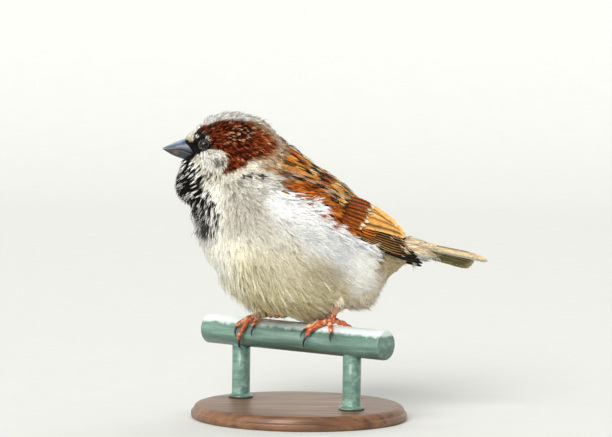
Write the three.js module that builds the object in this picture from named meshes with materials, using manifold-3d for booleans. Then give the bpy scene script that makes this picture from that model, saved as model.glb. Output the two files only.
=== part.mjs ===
// A life-size male house sparrow, fluffed up and perched on a cut length of round rail, on a plain stand.
// Millimetres, +Z up. The bird faces -X and its left side faces -Y. The shapes are worked out in a frame
// whose origin is on the rail's axis under the bird, and the finished group is moved so that its origin is
// the middle of the bottom of its box.
import * as THREE from "three";
import { mergeVertices } from "three/addons/utils/BufferGeometryUtils.js";
import Module from "manifold-3d";

const wasm = await Module();
wasm.setup();

// ---------- driving dimensions ----------
const GAP = 0.3; // air between pieces that touch
const REACH = 400; // side of the boxes that cut the body

const RAIL = { radius: 6.35, length: 96, yaw: -38, middle: -2, sides: 32 };
const ROD = { radius: 3.9, height: 22, along: 30, sides: 18 };
const BASE = { radius: 46, thickness: 6, bevel: 1.2, sides: 44 };

// The plumage outline is a blend of eggs: place of the middle, half length, half depth and half width, and
// how far the long axis is pitched up towards +X, in degrees. An egg with a y is there once on each side.
const BLEND = 3; // how softly the eggs run into each other
const EGGS = {
  crown: { x: -29.0, z: 79.4, long: 17.2, deep: 15.0, wide: 12.2, pitch: -6 },
  face: { x: -40.2, z: 78.6, long: 8.6, deep: 9.4, wide: 7.2, pitch: 0 },
  cheek: { x: -33.5, y: 5.0, z: 72.5, long: 8.5, deep: 7.5, wide: 6.5, pitch: -20 },
  throat: { x: -43.0, z: 66.5, long: 11.3, deep: 10.0, wide: 10.0, pitch: 60 },
  nape: { x: -16.5, z: 69.2, long: 19.5, deep: 14.6, wide: 16.5, pitch: -32 },
  breast: { x: -21.4, z: 46.4, long: 26.6, deep: 21.6, wide: 22.0, pitch: -62 },
  belly: { x: -2.4, z: 36.6, long: 30.6, deep: 28.6, wide: 26.0, pitch: -30 },
  mantle: { x: 5.5, z: 54.3, long: 27.0, deep: 14.3, wide: 20.0, pitch: -38 },
  rump: { x: 31.0, z: 41.0, long: 18.0, deep: 9.0, wide: 12.5, pitch: -30 },
  vent: { x: 25.0, z: 26.8, long: 13.5, deep: 10.0, wide: 14.5, pitch: 38 },
};
const BODY_MIDDLE = new THREE.Vector3(-10, 0, 50); // every point of the outline is in sight from here
const BODY_REACH = 90; // further than any point of the outline from the middle
const BODY_DETAIL = 8; // divisions of the icosahedron's edges

// The eyeball shows through an opening; its middle lies further in and further back than the opening's.
const EYE = { x: -42.0, z: 81.3, radius: 2.9, opening: 2.0, sunk: 0.3, back: 0.74, low: 0.2 };
const BILL = {
  back: -44.5, // the end under the face feathers
  base: -49.0,
  tip: -59.4,
  ridge: 84.3,
  keel: 75.2,
  gape: 78.9, // height of the closing line at the base
  point: 79.3, // and at the tip
  halfWidth: 3.6,
  edge: 0.12, // height left at the very tip
  ridgeTaper: 0.72, // how evenly the ridge falls to the tip: 1 is a straight line
  keelTaper: 0.6, // the same for the lower edge
};

// A folded wing seen from the side: its upper and lower edges (x, z) from the wrist to the tip.
const WING_TOP = [[-14, 67], [-3, 70], [11, 65], [25, 55.5], [38, 45.5], [46.5, 38], [50.8, 32.6]];
const WING_LOW = [[-14, 65.5], [-5, 60.5], [8, 52.5], [18, 44.5], [30, 36.5], [42, 32], [50.3, 31.4]];
const WING = { tipSide: 7.0, over: 0.9, under: 1.3, edge: 0.35, columns: 7, rows: 3 };
// Shares of the wing that each group of feathers takes: from wrist to tip, and from the low edge up.
const WING_PANELS = {
  coverts: { along: [0.02, 0.394], up: [0, 1] },
  tertials: { along: [0.406, 0.814], up: [0.514, 1] },
  secondaries: { along: [0.406, 0.814], up: [0, 0.486] },
  primaries: { along: [0.826, 1], up: [0, 1] },
};
const WING_BED = { along: [0.012, 0.998], up: [-0.02, 1.02], height: 6 };

const TAIL = { x: 43, z: 41.0, pitch: 11, yaw: 17, thickness: 1.0, buried: 3, notch: 3.2 };
// The two halves of the fan slope down from its middle line like a roof; its top feathers lie on the ridge.
const TAIL_HALVES = {
  left: { side: -1, droop: 20, length: 37.2, rootWidth: 4.8, tipWidth: 8.2 },
  right: { side: 1, droop: 46, length: 34.4, rootWidth: 4.4, tipWidth: 8.2 },
};
const TAIL_TOP = { droop: 20, length: 34.0, width: 3.4, inward: 1.2 };

const THIGH = { long: 9.5, deep: 6.5, wide: 6.5, pitch: 35, back: 4.5, up: 3.5 };
const TARSUS = { radius: 0.85, swelling: 0.45, foot: 2.0 };
const SOLE = { long: 1.7, wide: 1.5, deep: 1.15, height: 1.3 };
const TOE = { radius: 0.95, tipRadius: 0.7, lift: 0.12, knuckle: 0.35, root: 84 };
const CLAW = { radius: 0.55, tipRadius: 0.22, arch: 0.9, start: 0.14 };

// Each foot: where it stands along the rail, the ankle, and for each toe how far along the rail it slides
// from root to last joint, how many degrees round the rail that joint and the claw's tip are, with 90 on
// top, and how far the claw slides on.
const FEET = {
  left: {
    at: 16.7,
    ankle: [15.6, -14.2, 14.2],
    toes: {
      hind: { slide: 6.0, joint: 150, tip: 186, clawSlide: 2.0 },
      inner: { slide: -8.6, joint: 36, tip: 6, clawSlide: -1.6 },
      middle: { slide: -7.2, joint: 14, tip: -24, clawSlide: -1.8 },
      outer: { slide: 5.4, joint: 30, tip: 2, clawSlide: 0.6 },
    },
  },
  right: {
    at: -20,
    ankle: [-12.0, 15.5, 15.0],
    toes: {
      hind: { slide: 9.5, joint: 100, tip: 104, clawSlide: 5.4 },
      inner: { slide: 0.6, joint: 30, tip: -6, clawSlide: -0.6 },
      middle: { slide: -7.4, joint: -18, tip: -62, clawSlide: -1.0 },
      outer: { slide: -8.8, joint: 22, tip: -12, clawSlide: 0.2 },
    },
  },
};

// Planes that part the body: each stands on the middle plane and runs through two points (x, z) of it.
const HEAD_LINE = [[-56, 69.5], [-6, 86.5]];
const NECK_LINE = [[-54, 56], [6, 80]];
const BACK_LINE = [[-24, 70], [48, 34]];
const BREAST_LINE = [[14, -2], [-24, 74]];
const REAR_LINE = [[30, 80], [20, 0]];

const LOOKS = {
  crown: { color: "#6b2c14", roughness: 0.85 },
  breast: { color: "#d3cbb9", roughness: 0.9 },
  back: { color: "#9a5a26", roughness: 0.85 },
  rump: { color: "#8f8069", roughness: 0.9 },
  wing: { color: "#6a4526", roughness: 0.8 },
  tail: { color: "#75644e", roughness: 0.8 },
  bill: { color: "#3c424c", roughness: 0.4 },
  eye: { color: "#120c0a", roughness: 0.08 },
  leg: { color: "#a5512f", roughness: 0.6 },
  claw: { color: "#1f1a1c", roughness: 0.35 },
  rail: { color: "#7f978b", roughness: 0.45, metalness: 0.3 },
  rod: { color: "#59635e", roughness: 0.5, metalness: 0.3 },
  base: { color: "#5b4030", roughness: 0.55 },
};

const radians = THREE.MathUtils.degToRad;
const mix = THREE.MathUtils.lerp;

// ---------- solids ----------
// A closed geometry as a solid, with its shared vertices merged.
function solidOf(geometry) {
  const plain = new THREE.BufferGeometry().setAttribute("position", geometry.getAttribute("position"));
  if (geometry.index) plain.setIndex(geometry.index);
  const merged = mergeVertices(plain, 1e-4);
  return new wasm.Manifold(
    new wasm.Mesh({
      numProp: 3,
      vertProperties: new Float32Array(merged.attributes.position.array),
      triVerts: new Uint32Array(merged.index.array),
    }),
  );
}

// The largest body of a solid, as a geometry, so that a sliver left by a cut is dropped.
function geometryOf(solid) {
  const bodies = solid.decompose();
  const whole = bodies.reduce((a, b) => (b.volume() > a.volume() ? b : a));
  const mesh = whole.getMesh();
  return new THREE.BufferGeometry()
    .setAttribute("position", new THREE.BufferAttribute(new Float32Array(mesh.vertProperties), 3))
    .setIndex(new THREE.BufferAttribute(new Uint32Array(mesh.triVerts), 1));
}

// A closed solid through rings of points, each a list of Vector3 with the same count, with flat ends.
function loft(rings) {
  const count = rings[0].length;
  const last = rings.length - 1;
  const points = rings.flat();
  const faces = [];
  for (let i = 0; i < last; i++)
    for (let j = 0; j < count; j++) {
      const a = i * count + j;
      const b = i * count + ((j + 1) % count);
      faces.push(a, b, a + count, b, b + count, a + count);
    }
  for (const ring of [0, last]) {
    const middle = rings[ring].reduce((sum, point) => sum.add(point), new THREE.Vector3());
    points.push(middle.divideScalar(count));
    for (let j = 0; j < count; j++) {
      const edge = [ring * count + j, ring * count + ((j + 1) % count)];
      if (ring === 0) edge.reverse();
      faces.push(points.length - 1, ...edge);
    }
  }
  return new THREE.BufferGeometry().setFromPoints(points).setIndex(faces);
}

// A round bar along a curve, whose radius at each share of its length is radiusAt(share).
function sweep(curve, radiusAt, steps, sides) {
  const frames = curve.computeFrenetFrames(steps, false);
  const rings = [];
  for (let i = 0; i <= steps; i++) {
    const share = i / steps;
    const middle = curve.getPointAt(share);
    const ring = [];
    for (let j = 0; j < sides; j++) {
      const turn = (2 * Math.PI * j) / sides;
      const arm = frames.normals[i].clone().multiplyScalar(Math.cos(turn));
      arm.addScaledVector(frames.binormals[i], Math.sin(turn));
      ring.push(middle.clone().addScaledVector(arm, radiusAt(share)));
    }
    rings.push(ring);
  }
  return loft(rings);
}

// ---------- the plumage outline ----------
// How far outside one egg a point is, near enough in millimetres.
function eggDistance(egg, side, x, y, z) {
  const turn = radians(egg.pitch);
  const dx = x - egg.x;
  const dz = z - egg.z;
  const along = dx * Math.cos(turn) + dz * Math.sin(turn);
  const across = dz * Math.cos(turn) - dx * Math.sin(turn);
  const share = Math.hypot(along / egg.long, across / egg.deep, (y - side * (egg.y ?? 0)) / egg.wide);
  return (share - 1) * Math.min(egg.long, egg.deep, egg.wide);
}

// Below zero inside the plumage, and near enough the distance to its outline near it.
function outline(x, y, z) {
  let sum = 0;
  for (const egg of Object.values(EGGS))
    for (const side of egg.y ? [-1, 1] : [0]) sum += Math.exp(-eggDistance(egg, side, x, y, z) / BLEND);
  return -BLEND * Math.log(sum);
}

// The place between a point inside and a point outside where the outline, grown by offset, is crossed.
function crossing(inside, outside, offset) {
  const point = new THREE.Vector3();
  let low = 0;
  let high = 1;
  while (high - low > 1e-7) {
    const middle = (low + high) / 2;
    point.lerpVectors(inside, outside, middle);
    if (outline(point.x, point.y, point.z) < offset) low = middle;
    else high = middle;
  }
  return point;
}

// The whole body as a ball pulled out to the outline.
function bodySolid(offset) {
  const ball = new THREE.IcosahedronGeometry(1, BODY_DETAIL);
  const places = ball.getAttribute("position");
  const direction = new THREE.Vector3();
  for (let i = 0; i < places.count; i++) {
    direction.fromBufferAttribute(places, i).normalize();
    const outside = BODY_MIDDLE.clone().addScaledVector(direction, BODY_REACH);
    const found = crossing(BODY_MIDDLE, outside, offset);
    places.setXYZ(i, found.x, found.y, found.z);
  }
  return solidOf(ball);
}

// How far out from the middle plane the flank is at a point (x, z) of that plane.
function flank(x, z) {
  if (outline(x, 0, z) > 0) return 0;
  return crossing(new THREE.Vector3(x, 0, z), new THREE.Vector3(x, BODY_REACH, z), 0).y;
}

// ---------- cuts across the body ----------
// Everything on one side of a plane through two points (x, z): on the left, looking from the first point to
// the second from -Y, set back by half a gap.
function beyond([from, to]) {
  const box = new THREE.BoxGeometry(REACH, REACH, REACH);
  box.translate(0, 0, REACH / 2 + GAP / 2);
  box.rotateY(-Math.atan2(to[1] - from[1], to[0] - from[0]));
  box.translate((from[0] + to[0]) / 2, 0, (from[1] + to[1]) / 2);
  return solidOf(box);
}

const before = ([from, to]) => beyond([to, from]);

// ---------- wings ----------
const inPlane = (points) => new THREE.CatmullRomCurve3(points.map(([x, z]) => new THREE.Vector3(x, 0, z)));
const wingTop = inPlane(WING_TOP);
const wingLow = inPlane(WING_LOW);

// The flank's skin under a place on the wing, moved out from it by offset.
function wingPoint(side, along, up, offset) {
  const place = wingLow.getPoint(along).lerp(wingTop.getPoint(along), up);
  place.y = side * (Math.max(flank(place.x, place.z), WING.tipSide) + offset);
  return place;
}

// A panel of the wing. It is thickest halfway up. A bed for it is deeper by a gap and open to the outside.
function wingPanel(side, { along, up }, bedHeight) {
  const swell = (share, thickness) => mix(WING.edge, thickness, Math.sin(Math.PI * share));
  const rings = [];
  for (let i = 0; i <= WING.columns; i++) {
    const alongHere = mix(...along, i / WING.columns);
    const outer = [];
    const inner = [];
    for (let j = 0; j <= WING.rows; j++) {
      const upHere = mix(...up, j / WING.rows);
      const depth = swell(upHere, WING.under) + (bedHeight ? GAP : 0);
      outer.push(wingPoint(side, alongHere, upHere, bedHeight || swell(upHere, WING.over)));
      inner.unshift(wingPoint(side, alongHere, upHere, -depth));
    }
    const ring = [...outer, ...inner];
    rings.push(side < 0 ? ring.reverse() : ring);
  }
  return solidOf(loft(rings));
}

// ---------- bill ----------
// Half of the bill, above the line where the two halves close, or below it.
function billHalf(upper) {
  const steps = 12;
  const sides = 10;
  const way = upper ? 1 : -1;
  const rings = [];
  for (let i = 0; i <= steps; i++) {
    const x = mix(BILL.back, BILL.tip, i / steps);
    const share = Math.max(0, (BILL.base - x) / (BILL.base - BILL.tip));
    const closing = mix(BILL.gape, BILL.point, share) + (way * GAP) / 2;
    const baseHeight = Math.abs((upper ? BILL.ridge : BILL.keel) - BILL.gape);
    const height = baseHeight * (1 - share) ** (upper ? BILL.ridgeTaper : BILL.keelTaper) + BILL.edge;
    const width = BILL.halfWidth * (1 - 0.93 * share ** 1.1);
    const ring = [];
    for (let j = 0; j <= sides; j++) {
      const turn = (Math.PI * j) / sides;
      ring.push(new THREE.Vector3(x, width * Math.cos(turn), closing + way * height * Math.sin(turn)));
    }
    rings.push(upper ? ring.reverse() : ring);
  }
  return solidOf(loft(rings));
}

// ---------- feet ----------
const ALONG = new THREE.Vector3(Math.cos(radians(RAIL.yaw)), Math.sin(radians(RAIL.yaw)), 0);
const NEAR = new THREE.Vector3(ALONG.y, -ALONG.x, 0);

// The place at a height above the rail's surface, some way along the rail and some degrees round it.
function onRail(along, turn, height) {
  const reach = RAIL.radius + GAP + height;
  const place = ALONG.clone().multiplyScalar(along);
  place.addScaledVector(NEAR, reach * Math.cos(radians(turn)));
  place.z += reach * Math.sin(radians(turn));
  return place;
}

// A toe winds round the rail from its root to its last joint, with three knuckles.
function toeCurve(foot, toe, root) {
  const points = [];
  for (let share = 0; share <= 1; share += 1 / 6) {
    const knuckle = TOE.knuckle * Math.sin(share * Math.PI * 3) ** 2;
    const height = TOE.radius + TOE.lift + knuckle;
    points.push(onRail(foot.at + toe.slide * share, mix(root, toe.joint, share), height));
  }
  return new THREE.CatmullRomCurve3(points);
}

// A claw goes on from the last joint, arching off the rail.
function clawCurve(foot, toe) {
  const points = [];
  for (let share = 0; share <= 1; share += 1 / 4) {
    const onward = mix(CLAW.start, 1, share);
    const height = TOE.radius + TOE.lift + CLAW.arch * Math.sin(share * Math.PI * 0.9);
    const along = foot.at + toe.slide + toe.clawSlide * onward;
    points.push(onRail(along, mix(toe.joint, toe.tip, onward), height));
  }
  return new THREE.CatmullRomCurve3(points);
}

// The sole with its four toes, as one piece.
function footSolid(foot, grow) {
  const sole = new THREE.SphereGeometry(1, 9, 6);
  sole.scale(SOLE.long + grow, SOLE.wide + grow, SOLE.deep + grow);
  sole.translate(...onRail(foot.at, 90, SOLE.height));
  const taper = (share) => mix(TOE.radius, TOE.tipRadius, share) + grow;
  let whole = solidOf(sole);
  for (const [name, toe] of Object.entries(foot.toes)) {
    const root = name === "hind" ? 180 - TOE.root : TOE.root;
    whole = whole.add(solidOf(sweep(toeCurve(foot, toe, root), taper, 6, 6)));
  }
  return whole;
}

function clawSolid(foot, toe, grow) {
  const taper = (share) => mix(CLAW.radius, CLAW.tipRadius, share ** 1.3) + grow;
  return solidOf(sweep(clawCurve(foot, toe), taper, 4, 5));
}

// The bare shin, slim halfway up, from the sole to the ankle.
function tarsusSolid(foot) {
  const shin = new THREE.LineCurve3(onRail(foot.at, 90, TARSUS.foot), new THREE.Vector3(...foot.ankle));
  const radiusAt = (share) => TARSUS.radius + TARSUS.swelling * Math.abs(2 * share - 1) ** 3;
  return solidOf(sweep(shin, radiusAt, 4, 7));
}

// The feathered thigh, an egg that takes in the flank above the ankle.
function thighSolid(foot, grow) {
  const [x, y, z] = foot.ankle;
  const egg = new THREE.SphereGeometry(1, 12, 8);
  egg.scale(THIGH.long + grow, THIGH.wide + grow, THIGH.deep + grow);
  egg.rotateY(-radians(THIGH.pitch));
  egg.translate(x + THIGH.back, y, z + THIGH.up);
  return solidOf(egg);
}

// ---------- tail ----------
// A plate of the tail from its outline, drawn with its root at the origin and its end towards +X.
function tailPlate(shape, droop, lift) {
  const options = { depth: TAIL.thickness, bevelEnabled: false, curveSegments: 6 };
  const plate = new THREE.ExtrudeGeometry(shape, options);
  plate.translate(0, 0, lift);
  plate.rotateX(radians(droop));
  plate.rotateY(radians(TAIL.pitch));
  plate.rotateZ(radians(TAIL.yaw));
  plate.translate(TAIL.x, 0, TAIL.z);
  return solidOf(plate);
}

// One half of the fan, notched towards the middle line.
function tailHalf({ side, droop, length, rootWidth, tipWidth }) {
  const shape = new THREE.Shape();
  shape.moveTo(-TAIL.buried, side * GAP);
  shape.lineTo(length - TAIL.notch, side * GAP);
  shape.quadraticCurveTo(length + 0.8, side * tipWidth * 0.55, length - 0.6, side * tipWidth);
  shape.lineTo(length * 0.55, side * mix(rootWidth, tipWidth, 0.72));
  shape.lineTo(-TAIL.buried, side * rootWidth);
  shape.closePath();
  return tailPlate(shape, -side * droop, 0);
}

// The middle feathers, over the ridge and most of them on the left half.
function tailTop({ droop, length, width, inward }) {
  const shape = new THREE.Shape();
  shape.moveTo(-TAIL.buried, -width / 2 - inward);
  shape.lineTo(length - 3, -width / 2 - 0.6 - inward);
  shape.quadraticCurveTo(length + 1.6, -inward, length - 3, width / 2 + 0.4 - inward);
  shape.lineTo(-TAIL.buried, width / 2 - inward);
  shape.closePath();
  return tailPlate(shape, droop, TAIL.thickness + GAP);
}

// ---------- perch and stand ----------
function railSolid(grow) {
  const radius = RAIL.radius + grow;
  const bar = new THREE.CylinderGeometry(radius, radius, RAIL.length + 2 * grow, RAIL.sides);
  bar.rotateZ(Math.PI / 2 + radians(RAIL.yaw));
  bar.translate(...ALONG.clone().multiplyScalar(RAIL.middle));
  return solidOf(bar);
}

// A rod from the base up to the rail, its top cut to the rail's round.
function rodSolid(way) {
  const height = ROD.height + RAIL.radius;
  const rod = new THREE.CylinderGeometry(ROD.radius, ROD.radius, height, ROD.sides);
  rod.rotateX(Math.PI / 2);
  rod.translate(0, 0, -height / 2);
  rod.translate(...ALONG.clone().multiplyScalar(RAIL.middle + way * ROD.along));
  return solidOf(rod).subtract(railSolid(GAP));
}

function baseSolid() {
  const { radius, thickness, bevel } = BASE;
  const profile = [
    [0, 0],
    [radius - bevel / 2, 0],
    [radius, bevel / 2],
    [radius, thickness - bevel],
    [radius - bevel, thickness],
    [0, thickness],
  ].map(([out, height]) => new THREE.Vector2(out, height));
  const disc = new THREE.LatheGeometry(profile, BASE.sides);
  disc.rotateX(Math.PI / 2);
  disc.translate(0, 0, -RAIL.radius - ROD.height - GAP - thickness);
  return solidOf(disc);
}

// ---------- the scene ----------
const figure = new THREE.Group();
const groups = {};
for (const name of ["stand", "perch", "body", "wings", "bill", "eyes", "tail", "legs"]) {
  groups[name] = new THREE.Group();
  groups[name].name = name;
  figure.add(groups[name]);
}

function addPiece(group, name, solid, look) {
  const mesh = new THREE.Mesh(geometryOf(solid), new THREE.MeshStandardMaterial(LOOKS[look]));
  mesh.name = name;
  groups[group].add(mesh);
}

addPiece("perch", "perch_rail", railSolid(0), "rail");
addPiece("stand", "stand_base", baseSolid(), "base");
addPiece("stand", "stand_rod_left", rodSolid(1), "rod");
addPiece("stand", "stand_rod_right", rodSolid(-1), "rod");

const clear = bodySolid(GAP); // what lies on the plumage stops here
let body = bodySolid(0);

for (const [sideName, side] of Object.entries({ left: -1, right: 1 })) {
  body = body.subtract(wingPanel(side, WING_BED, WING_BED.height));
  for (const [panelName, panel] of Object.entries(WING_PANELS)) {
    addPiece("wings", `wing_${sideName}_${panelName}`, wingPanel(side, panel), "wing");
    body = body.subtract(wingPanel(side, panel, WING_BED.height));
  }

  const depth = Math.sqrt(EYE.radius ** 2 - EYE.opening ** 2) + EYE.sunk;
  const middle = [EYE.x + EYE.back, side * (flank(EYE.x, EYE.z) - depth), EYE.z - EYE.low];
  const ball = new THREE.SphereGeometry(EYE.radius, 12, 8).translate(...middle);
  const socket = new THREE.SphereGeometry(EYE.radius + GAP, 12, 8).translate(...middle);
  addPiece("eyes", `eye_${sideName}`, solidOf(ball), "eye");
  body = body.subtract(solidOf(socket));
}

addPiece("bill", "bill_upper", billHalf(true).subtract(clear), "bill");
addPiece("bill", "bill_lower", billHalf(false).subtract(clear), "bill");

for (const [name, half] of Object.entries(TAIL_HALVES))
  addPiece("tail", `tail_${name}`, tailHalf(half).subtract(clear), "tail");
addPiece("tail", "tail_middle", tailTop(TAIL_TOP).subtract(clear), "tail");

for (const [sideName, foot] of Object.entries(FEET)) {
  const footRoom = footSolid(foot, GAP);
  addPiece("legs", `foot_${sideName}`, footSolid(foot, 0), "leg");
  addPiece("legs", `tarsus_${sideName}`, tarsusSolid(foot).subtract(clear).subtract(footRoom), "leg");
  body = body.subtract(footRoom);
  for (const [toeName, toe] of Object.entries(foot.toes)) {
    const claw = clawSolid(foot, toe, 0).subtract(footRoom);
    addPiece("legs", `claw_${sideName}_${toeName}`, claw, "claw");
    body = body.subtract(clawSolid(foot, toe, GAP));
  }
  addPiece("body", `thigh_${sideName}`, body.intersect(thighSolid(foot, 0)), "breast");
  body = body.subtract(thighSolid(foot, GAP));
}

const lower = body.intersect(before(NECK_LINE));
const dorsal = lower.intersect(beyond(BACK_LINE));
const ventral = lower.intersect(before(BACK_LINE));
addPiece("body", "head", body.intersect(beyond(HEAD_LINE)), "crown");
addPiece("body", "neck", body.intersect(before(HEAD_LINE)).intersect(beyond(NECK_LINE)), "breast");
addPiece("body", "back", dorsal.intersect(before(REAR_LINE)), "back");
addPiece("body", "rump", dorsal.intersect(beyond(REAR_LINE)), "rump");
addPiece("body", "breast", ventral.intersect(beyond(BREAST_LINE)), "breast");
addPiece("body", "belly", ventral.intersect(before(BREAST_LINE)).intersect(before(REAR_LINE)), "breast");
addPiece("body", "vent", ventral.intersect(beyond(REAR_LINE)), "breast");

// ---------- origin ----------
const box = new THREE.Box3().setFromObject(figure);
const middle = box.getCenter(new THREE.Vector3());
figure.position.set(-middle.x, -middle.y, -box.min.z);

export default figure;
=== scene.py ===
"""A male house sparrow gripping a cut length of rail on a plain stand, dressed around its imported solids.

Lengths are millimetres in the bird's own frame until a mesh is made: the origin is on the rail's axis under
the bird, +Z is up, the bird faces -X and its left side faces -Y. A place (x, h) is one in the side view, and
h is the height at which it shows there. mesh_piece() moves points into the frame's metres.
"""

import math

import bpy
import numpy as np
from mathutils import Euler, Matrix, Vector
from mathutils.bvhtree import BVHTree

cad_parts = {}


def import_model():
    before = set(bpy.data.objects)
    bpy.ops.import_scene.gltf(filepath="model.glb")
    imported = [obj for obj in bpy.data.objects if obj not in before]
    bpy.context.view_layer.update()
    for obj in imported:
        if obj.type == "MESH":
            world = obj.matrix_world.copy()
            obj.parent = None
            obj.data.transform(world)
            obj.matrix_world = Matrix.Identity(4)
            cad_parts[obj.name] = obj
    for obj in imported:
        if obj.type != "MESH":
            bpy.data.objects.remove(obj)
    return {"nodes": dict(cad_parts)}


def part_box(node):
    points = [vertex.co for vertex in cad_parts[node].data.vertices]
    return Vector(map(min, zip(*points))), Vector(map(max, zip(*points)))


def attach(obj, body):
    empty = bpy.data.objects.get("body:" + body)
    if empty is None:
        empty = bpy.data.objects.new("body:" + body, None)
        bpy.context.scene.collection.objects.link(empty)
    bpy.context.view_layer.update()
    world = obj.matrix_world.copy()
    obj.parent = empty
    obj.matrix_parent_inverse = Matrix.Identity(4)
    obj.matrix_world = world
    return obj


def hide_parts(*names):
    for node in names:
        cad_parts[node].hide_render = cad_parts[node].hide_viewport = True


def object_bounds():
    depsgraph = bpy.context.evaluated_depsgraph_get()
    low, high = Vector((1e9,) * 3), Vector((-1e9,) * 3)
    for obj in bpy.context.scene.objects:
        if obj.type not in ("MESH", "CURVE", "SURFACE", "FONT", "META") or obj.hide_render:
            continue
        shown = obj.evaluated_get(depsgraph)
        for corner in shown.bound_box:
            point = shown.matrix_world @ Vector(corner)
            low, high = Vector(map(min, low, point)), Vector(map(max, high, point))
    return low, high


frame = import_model()
CAD_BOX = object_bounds()


MILLIMETRE = 0.001  # in metres
METRE = 1000.0  # in millimetres


def node_middle(name):
    return np.sum(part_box(name), axis=0) / 2 * METRE


# ---------- the bird's own frame ----------
RAIL_YAW = math.radians(-38)
RAIL_RADIUS = 6.35
ALONG = np.array([math.cos(RAIL_YAW), math.sin(RAIL_YAW), 0.0])  # along the rail
NEAR = np.array([ALONG[1], -ALONG[0], 0.0])  # across it, towards the viewer
UP = np.array([0.0, 0.0, 1.0])
RAIL_MIDDLE = -2.0
ORIGIN = node_middle("perch_rail") - RAIL_MIDDLE * ALONG
BODY_MIDDLE = np.array([-10.0, 0.0, 50.0])
EYE_MIDDLE = node_middle("eye_left") - ORIGIN
EYE_RADIUS = (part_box("eye_left")[1][2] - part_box("eye_left")[0][2]) / 2 * METRE
BILL_ROOT = np.array([-55.0, 0.0, 79.0])  # the feathers of the head lie away from here
VIEW_TILT = 0.077  # how much a millimetre of width lowers a place as the bird is looked at
FLESH = ("head", "neck", "breast", "belly", "vent", "back", "rump", "thigh_left", "thigh_right")
WINGS = [f"wing_{side}_{part}" for side in ("left", "right")
         for part in ("coverts", "tertials", "secondaries", "primaries")]
PATCH = 0.003  # width of a tuft's patch on the unwrap
MOST_FACES = 190000  # in one piece of a coat


def world(points):
    return (points + ORIGIN) * MILLIMETRE


def seen(points):
    """Places (x, h) of points as they show in a view of their own side."""
    x, y, z = points.T
    return x, z - VIEW_TILT * np.abs(y)


# ---------- small maths ----------
def unit(v):
    return v / np.maximum(np.linalg.norm(v, axis=-1, keepdims=True), 1e-9)


def dot(a, b):
    return (a * b).sum(-1, keepdims=True)


def ramp(value, low, high):
    """0 at low, 1 at high, smooth between."""
    t = np.clip((value - low) / (high - low), 0, 1)
    return t * t * (3 - 2 * t)


def fall(value, low, high):
    """1 at low, 0 at high, smooth between."""
    return ramp(-value, -high, -low)


def lattice(cells, seed):
    """A repeatable random number for each whole-number cell."""
    mixed = (cells * np.array([73856093, 19349663, 83492791])).sum(-1) + seed * 2654435
    mixed = (mixed ^ (mixed >> 13)) * 1274126177 & 0x7FFFFFFF
    return ((mixed ^ (mixed >> 16)) & 0xFFFF) / 65535.0


def noise(points, size, seed):
    """Smooth noise from 0 to 1 whose features are about size across."""
    q = points / size + 1000
    cell = np.floor(q).astype(np.int64)
    part = q - cell
    part = part * part * (3 - 2 * part)
    total = 0
    for corner in np.ndindex(2, 2, 2):
        weight = np.prod(np.where(np.array(corner) == 1, part, 1 - part), axis=-1)
        total = total + weight * lattice(cell + np.array(corner), seed)
    return total


def streaks(across, along, third, size, seed):
    return noise(np.stack([across, along, third], -1), size, seed)


def near_line(line, points):
    """Distance in the side view from a broken line."""
    places = np.stack(seen(points), -1)
    corners = np.array(line, float)
    distances = []
    for a, b in zip(corners[:-1], corners[1:]):
        edge = b - a
        along = np.clip(((places - a) @ edge) / (edge @ edge), 0, 1)
        distances.append(np.linalg.norm(places - a - along[:, None] * edge, axis=1))
    return np.min(distances, axis=0)


def inside(patch, points):
    """How far inside an outline in the side view each place is; below zero outside."""
    x, h = seen(points)
    ring = [*patch, patch[0]]
    within = np.zeros(len(x), bool)
    for (ax, ah), (bx, bh) in zip(ring[:-1], ring[1:]):
        reach = ax + (h - ah) * (bx - ax) / (bh - ah if bh != ah else 1e-9)
        within ^= ((ah > h) != (bh > h)) & (x < reach)
    return near_line(ring, points) * np.where(within, 1, -1)


def spread(first, last, count):
    return np.array(first) + (np.array(last) - np.array(first)) * np.linspace(0, 1, count)[:, None]


def circle(count):
    return np.linspace(0, 2 * math.pi, count, endpoint=False)


def grid(rows, columns, closed=False):
    """Quads between rows of points that close round, and from the last row to the first if closed."""
    i, j = np.divmod(np.arange((rows if closed else rows - 1) * columns), columns)
    low, high, after = i * columns, (i + 1) % rows * columns, (j + 1) % columns
    return np.stack([low + j, high + j, high + after, low + after], -1)


def joined(meshes):
    """Meshes as one. Each is its points, its faces and any values that go with the points."""
    columns = list(zip(*meshes))
    starts = np.cumsum([0] + [len(points) for points in columns[0]])
    columns[1] = [faces + start for faces, start in zip(columns[1], starts)]
    return [np.concatenate(column) for column in columns]


# ---------- colours ----------
def colour(code):
    """A web code as the linear values that a shader takes. Linear values stay as they are."""
    if not isinstance(code, str):
        return np.asarray(code, float)
    values = np.array([int(code[i : i + 2], 16) / 255 for i in (1, 3, 5)])
    return np.where(values <= 0.04045, values / 12.92, ((values + 0.055) / 1.055) ** 2.4)


def blend(base, *layers):
    """A colour with others laid over it in turn. After each colour comes its share."""
    base = colour(base)
    for over, share in zip(layers[::2], layers[1::2]):
        base = base + (colour(over) - base) * np.clip(share, 0, 1)[..., None]
    return base


def tones(base, other, shares):
    """A colour for each feather, between two."""
    return colour(base) + (colour(other) - colour(base)) * np.asarray(shares)[:, None]


WHITE = colour("#f4f2ee")
SMOKE = colour("#6f6c6c")
BLACK = colour("#16130f")
BROWN = colour("#7a5638")
SOOT = colour("#1c1714")
ORANGE_BUFF = colour("#eb9f45")
PALE_BUFF = colour("#f3d8a2")
CREAM_RIM = colour("#fbedc8")
RUFOUS = colour("#d2670f")
DEEP_RUFOUS = colour("#8c3a08")


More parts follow.
